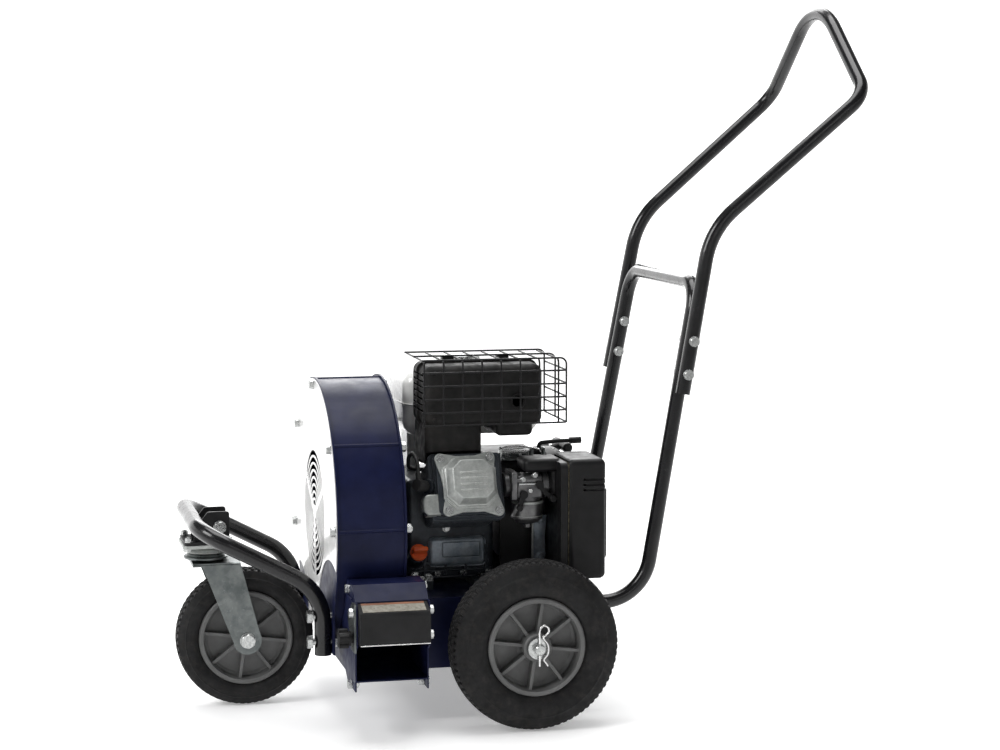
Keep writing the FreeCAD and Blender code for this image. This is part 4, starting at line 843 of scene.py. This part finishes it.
def valve_cover():
    """Cast cover: skewed flange with four lugs, stepped rings and a tapered eight-sided boss with plain ribs.

    The head's shoulder beside it is a piece of its own.
    """
    outward = on_head(0, 0, 1) - on_head(0, 0, 0)
    base = 184.2
    bm = bmesh.new()
    outline = []
    corners = ((-33, -40), (43, -42), (34, 40), (-41, 39))
    waists = (((-12, -43), (22, -43)), ((44, -18), (40, 16)), ((12, 43), (-18, 43)), ((-42, 14), (-37, -18)))
    for (cx, cy), start, waist in zip(corners, (170, 260, -10, 80), waists):
        for k in range(9):
            turn = math.radians(start + 14 * k)
            outline.append(on_head(cx + 8.6 * math.cos(turn), cy + 8.6 * math.sin(turn), base))
        outline += [on_head(x, y, base) for x, y in waist]
    plate(bm, outline, outward * 3.9, 0.0007, 3)
    plate(bm, octagon(41.0, 38.5, 1, base + 3.5), outward * 4.0, 0.0012, 3)
    plate(bm, octagon(38.5, 36.5, 2, base + 7.0, 1), outward * 4.0, 0.0012, 3)
    loft(bm, octagon(38.0, 36.0, 2, base + 10.0, 2), octagon(30.5, 29.0, 4, base + 24.0, 4), 0.0016, 4)
    for y in (-13, -4, 5, 14):
        rib = [on_head(x, y + dy, base + 23.6) for x, dy in ((-16, -1.1), (24, -1.1), (24, 1.1), (-16, 1.1))]
        plate(bm, rib, outward * 1.3, 0.0004, 2)
    cover = piece("valve_cover_casting", bm, "cast_silver", "chassis", 40)
    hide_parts("valve_cover")

    bm = bmesh.new()
    shoulder = [on_head(x, y, 159.5) for x, y in ((-70.4, -38), (-64, -44.4), (-39, -44.4), (-39, -13),
                                                  (-64, -13), (-70.4, -20))]
    plate(bm, shoulder, outward * 23.0, 0.003, 5)
    piece("head_shoulder", bm, "cast_silver", "chassis", 40)


def tank_details():
    """Welded rim round the middle of the tank and its cap's gasket ring."""
    bm = bmesh.new()
    x0, x1, y0, y1, z, corner, lip = -151.2, 67.2, -39.2, 125.2, 463.0, 24.0, 1.9
    rings = []
    for reach, height in ((-2.5, -1.0), (lip, -1.0), (lip + 0.5, 0.0), (lip, 1.0), (-2.5, 1.0)):
        ring = []
        for cx, cy, start in ((x1 - corner, y1 - corner, 0), (x0 + corner, y1 - corner, 90),
                              (x0 + corner, y0 + corner, 180), (x1 - corner, y0 + corner, 270)):
            for k in range(11):
                turn = math.radians(start + 9 * k)
                ring.append(bm.verts.new(at(cx + (corner + reach) * math.cos(turn),
                                            cy + (corner + reach) * math.sin(turn), z + height)))
        rings.append(ring)
    for first, second in zip(rings, rings[1:] + rings[:1]):
        bridge(bm, first, second)
    piece("fuel_tank_rim", bm, "tank_white", "chassis", 50)

    bm = bmesh.new()
    lathe_mm(bm, [(0, 24.1), (0, 26.6), (1.2, 27.2), (3.2, 27.2), (4.2, 26.4), (4.2, 24.1)], (-44, 46, 514.2),
             (0, 0, 1), 64)
    piece("fuel_neck_collar", bm, "zinc", "chassis", 50)


def muffler_details():
    """Outlet stub, clamp screws and rivets of the silencer."""
    bm = bmesh.new()
    lathe_mm(bm, [(0, 8.2), (0, 10.2), (5.5, 10.2), (7.5, 11.6), (8.2, 11.2), (8.2, 9.4), (6, 8.2)],
             (1, -148, 478), (0, -1, 0), 44)
    piece("muffler_outlet_stub", bm, "heat_black", "chassis", 45)
    bm = bmesh.new()
    for x, z in ((-126, 522), (28, 522), (-126, 452), (28, 462), (-60, 522)):
        lathe_mm(bm, [(0, 0), (0, 3.6), (1.0, 3.4), (1.9, 2.2), (2.2, 0)], (x, -149.6, z), (0, -1, 0), 24)
    piece("muffler_rivets", bm, "heat_black", "chassis", 45)
    bm = bmesh.new()
    for x in (-94, -8):
        hexagon(bm, at(x, -87, 535.6), (0, 0, 1), 10, 6, 8)
    piece("guard_screws", bm, "zinc", "chassis")


def recoil_details():
    """Screws of the recoil starter and the shroud."""
    bm = bmesh.new()
    for angle in (30, 100, 150, 210, 270, 330):
        turn = math.radians(angle)
        hexagon(bm, at(91.0 - 0.5, 89.5 * math.cos(turn) * 0.985, 294 + 89.5 * math.sin(turn) * 0.985),
                (1, 0, 0), 8, 4)
    for y, z in ((-88, 206), (-88, 362), (100, 362)):
        hexagon(bm, at(70, y, z), (1, 0, 0), 8, 4, 6)
    piece("recoil_screws", bm, "zinc", "chassis")


def air_cleaner_details():
    """Ribs on the face of the filter box, and its wing nut."""
    bm = bmesh.new()
    for z0, z1 in ((216, 232), (238, 254), (260, 276), (282, 298), (304, 320)):
        block(bm, 125.4, 127.4, -184, -128, z0, z1, 0.9, 2)
    piece("air_cleaner_ribs", bm, "black_plastic", "chassis")
    bm = bmesh.new()
    lathe_mm(bm, [(0, 0), (0, 6), (2, 7), (7, 6), (8, 4), (8, 0)], (131, -156, 318), (1, 0, 0), 32)
    for side in (-1, 1):
        outline = [at(133, -156 + side * a, 318 + b) for a, b in ((4, -2.5), (10, -5), (15, -3.5),
                                                                  (15.5, 2.5), (11, 4.5), (4, 3))]
        plate(bm, outline, Vector((0.0026, 0, 0)), 0.0006)
    piece("air_cleaner_wing_nut", bm, "zinc", "chassis")


# ---------------------------------------------------------------- studio

def studio():
    """Pale floor that sweeps up into a rim all round, and soft lights."""
    bm = bmesh.new()
    floor_r, bend_r, wall_h, bend_steps, around = 8.0, 3.0, 5.0, 12, 96
    profile = [(0.0, 0.0), (floor_r, 0.0)]
    for k in range(1, bend_steps + 1):
        turn = math.pi / 2 * k / bend_steps
        profile.append((floor_r + bend_r * math.sin(turn), bend_r * (1 - math.cos(turn))))
    profile.append((floor_r + bend_r, wall_h))
    rings = []
    for r, z in profile:
        if r == 0.0:
            rings.append([bm.verts.new((0, 0, 0))])
        else:
            turns = [2 * math.pi * k / around for k in range(around)]
            rings.append([bm.verts.new((r * math.cos(turn), r * math.sin(turn), z)) for turn in turns])
    for k in range(around):
        bm.faces.new((rings[0][0], rings[1][k], rings[1][(k + 1) % around]))
    for first, second in zip(rings[1:], rings[2:]):
        bridge(bm, first, second)
    bmesh.ops.recalc_face_normals(bm, faces=bm.faces)
    mesh = bpy.data.meshes.new("studio_sweep")
    bm.to_mesh(mesh)
    bm.free()
    mesh.materials.append(studio_floor())
    mesh.polygons.foreach_set("use_smooth", [True] * len(mesh.polygons))
    floor = bpy.data.objects.new("studio_sweep", mesh)
    bpy.context.scene.collection.objects.link(floor)

    world = bpy.data.worlds.new("studio")
    world.use_nodes = True
    world.node_tree.nodes["Background"].inputs["Color"].default_value = (1, 1, 1, 1)
    world.node_tree.nodes["Background"].inputs["Strength"].default_value = 0.16
    bpy.context.scene.world = world

    area_light("key", (-3.0, -0.9, 2.6), (0, 0, 0.35), 1.6, 75)
    area_light("fill", (0.4, -4.2, 1.8), (0, 0, 0.4), 1.6, 4)
    area_light("back", (0.6, 3.4, 2.6), (0, 0, 0.5), 2.6, 90)
    area_light("top", (0.0, 0.3, 3.8), (0, 0, 0.4), 2.4, 95)


def area_light(name, position, target, size, power):
    data = bpy.data.lights.new(name, "AREA")
    data.size = size
    data.energy = power
    light = bpy.data.objects.new(name, data)
    light.location = position
    aim = Vector(target) - Vector(position)
    light.rotation_euler = aim.to_track_quat("-Z", "Y").to_euler()
    bpy.context.scene.collection.objects.link(light)


def camera():
    data = bpy.data.cameras.new("camera")
    data.lens = 85.0
    data.sensor_width = 36.0
    data.clip_start = 0.05
    data.clip_end = 60.0
    view = bpy.data.objects.new("camera", data)
    view.location = (-0.8543, -3.5937, 0.8979)
    yaw, pitch = 0.231, 0.107
    forward = Vector((math.sin(yaw) * math.cos(pitch), math.cos(yaw) * math.cos(pitch), -math.sin(pitch)))
    view.rotation_euler = forward.to_track_quat("-Z", "Y").to_euler()
    bpy.context.scene.collection.objects.link(view)
    bpy.context.scene.camera = view
    bpy.context.scene.view_settings.view_transform = "Standard"


dress_cad()
wheels()
outlet_details()
welds()
governor()
carburettor_details()
silver_strip()
crankcase_details()
valve_cover()
tank_details()
muffler_details()
recoil_details()
air_cleaner_details()
studio()
camera()
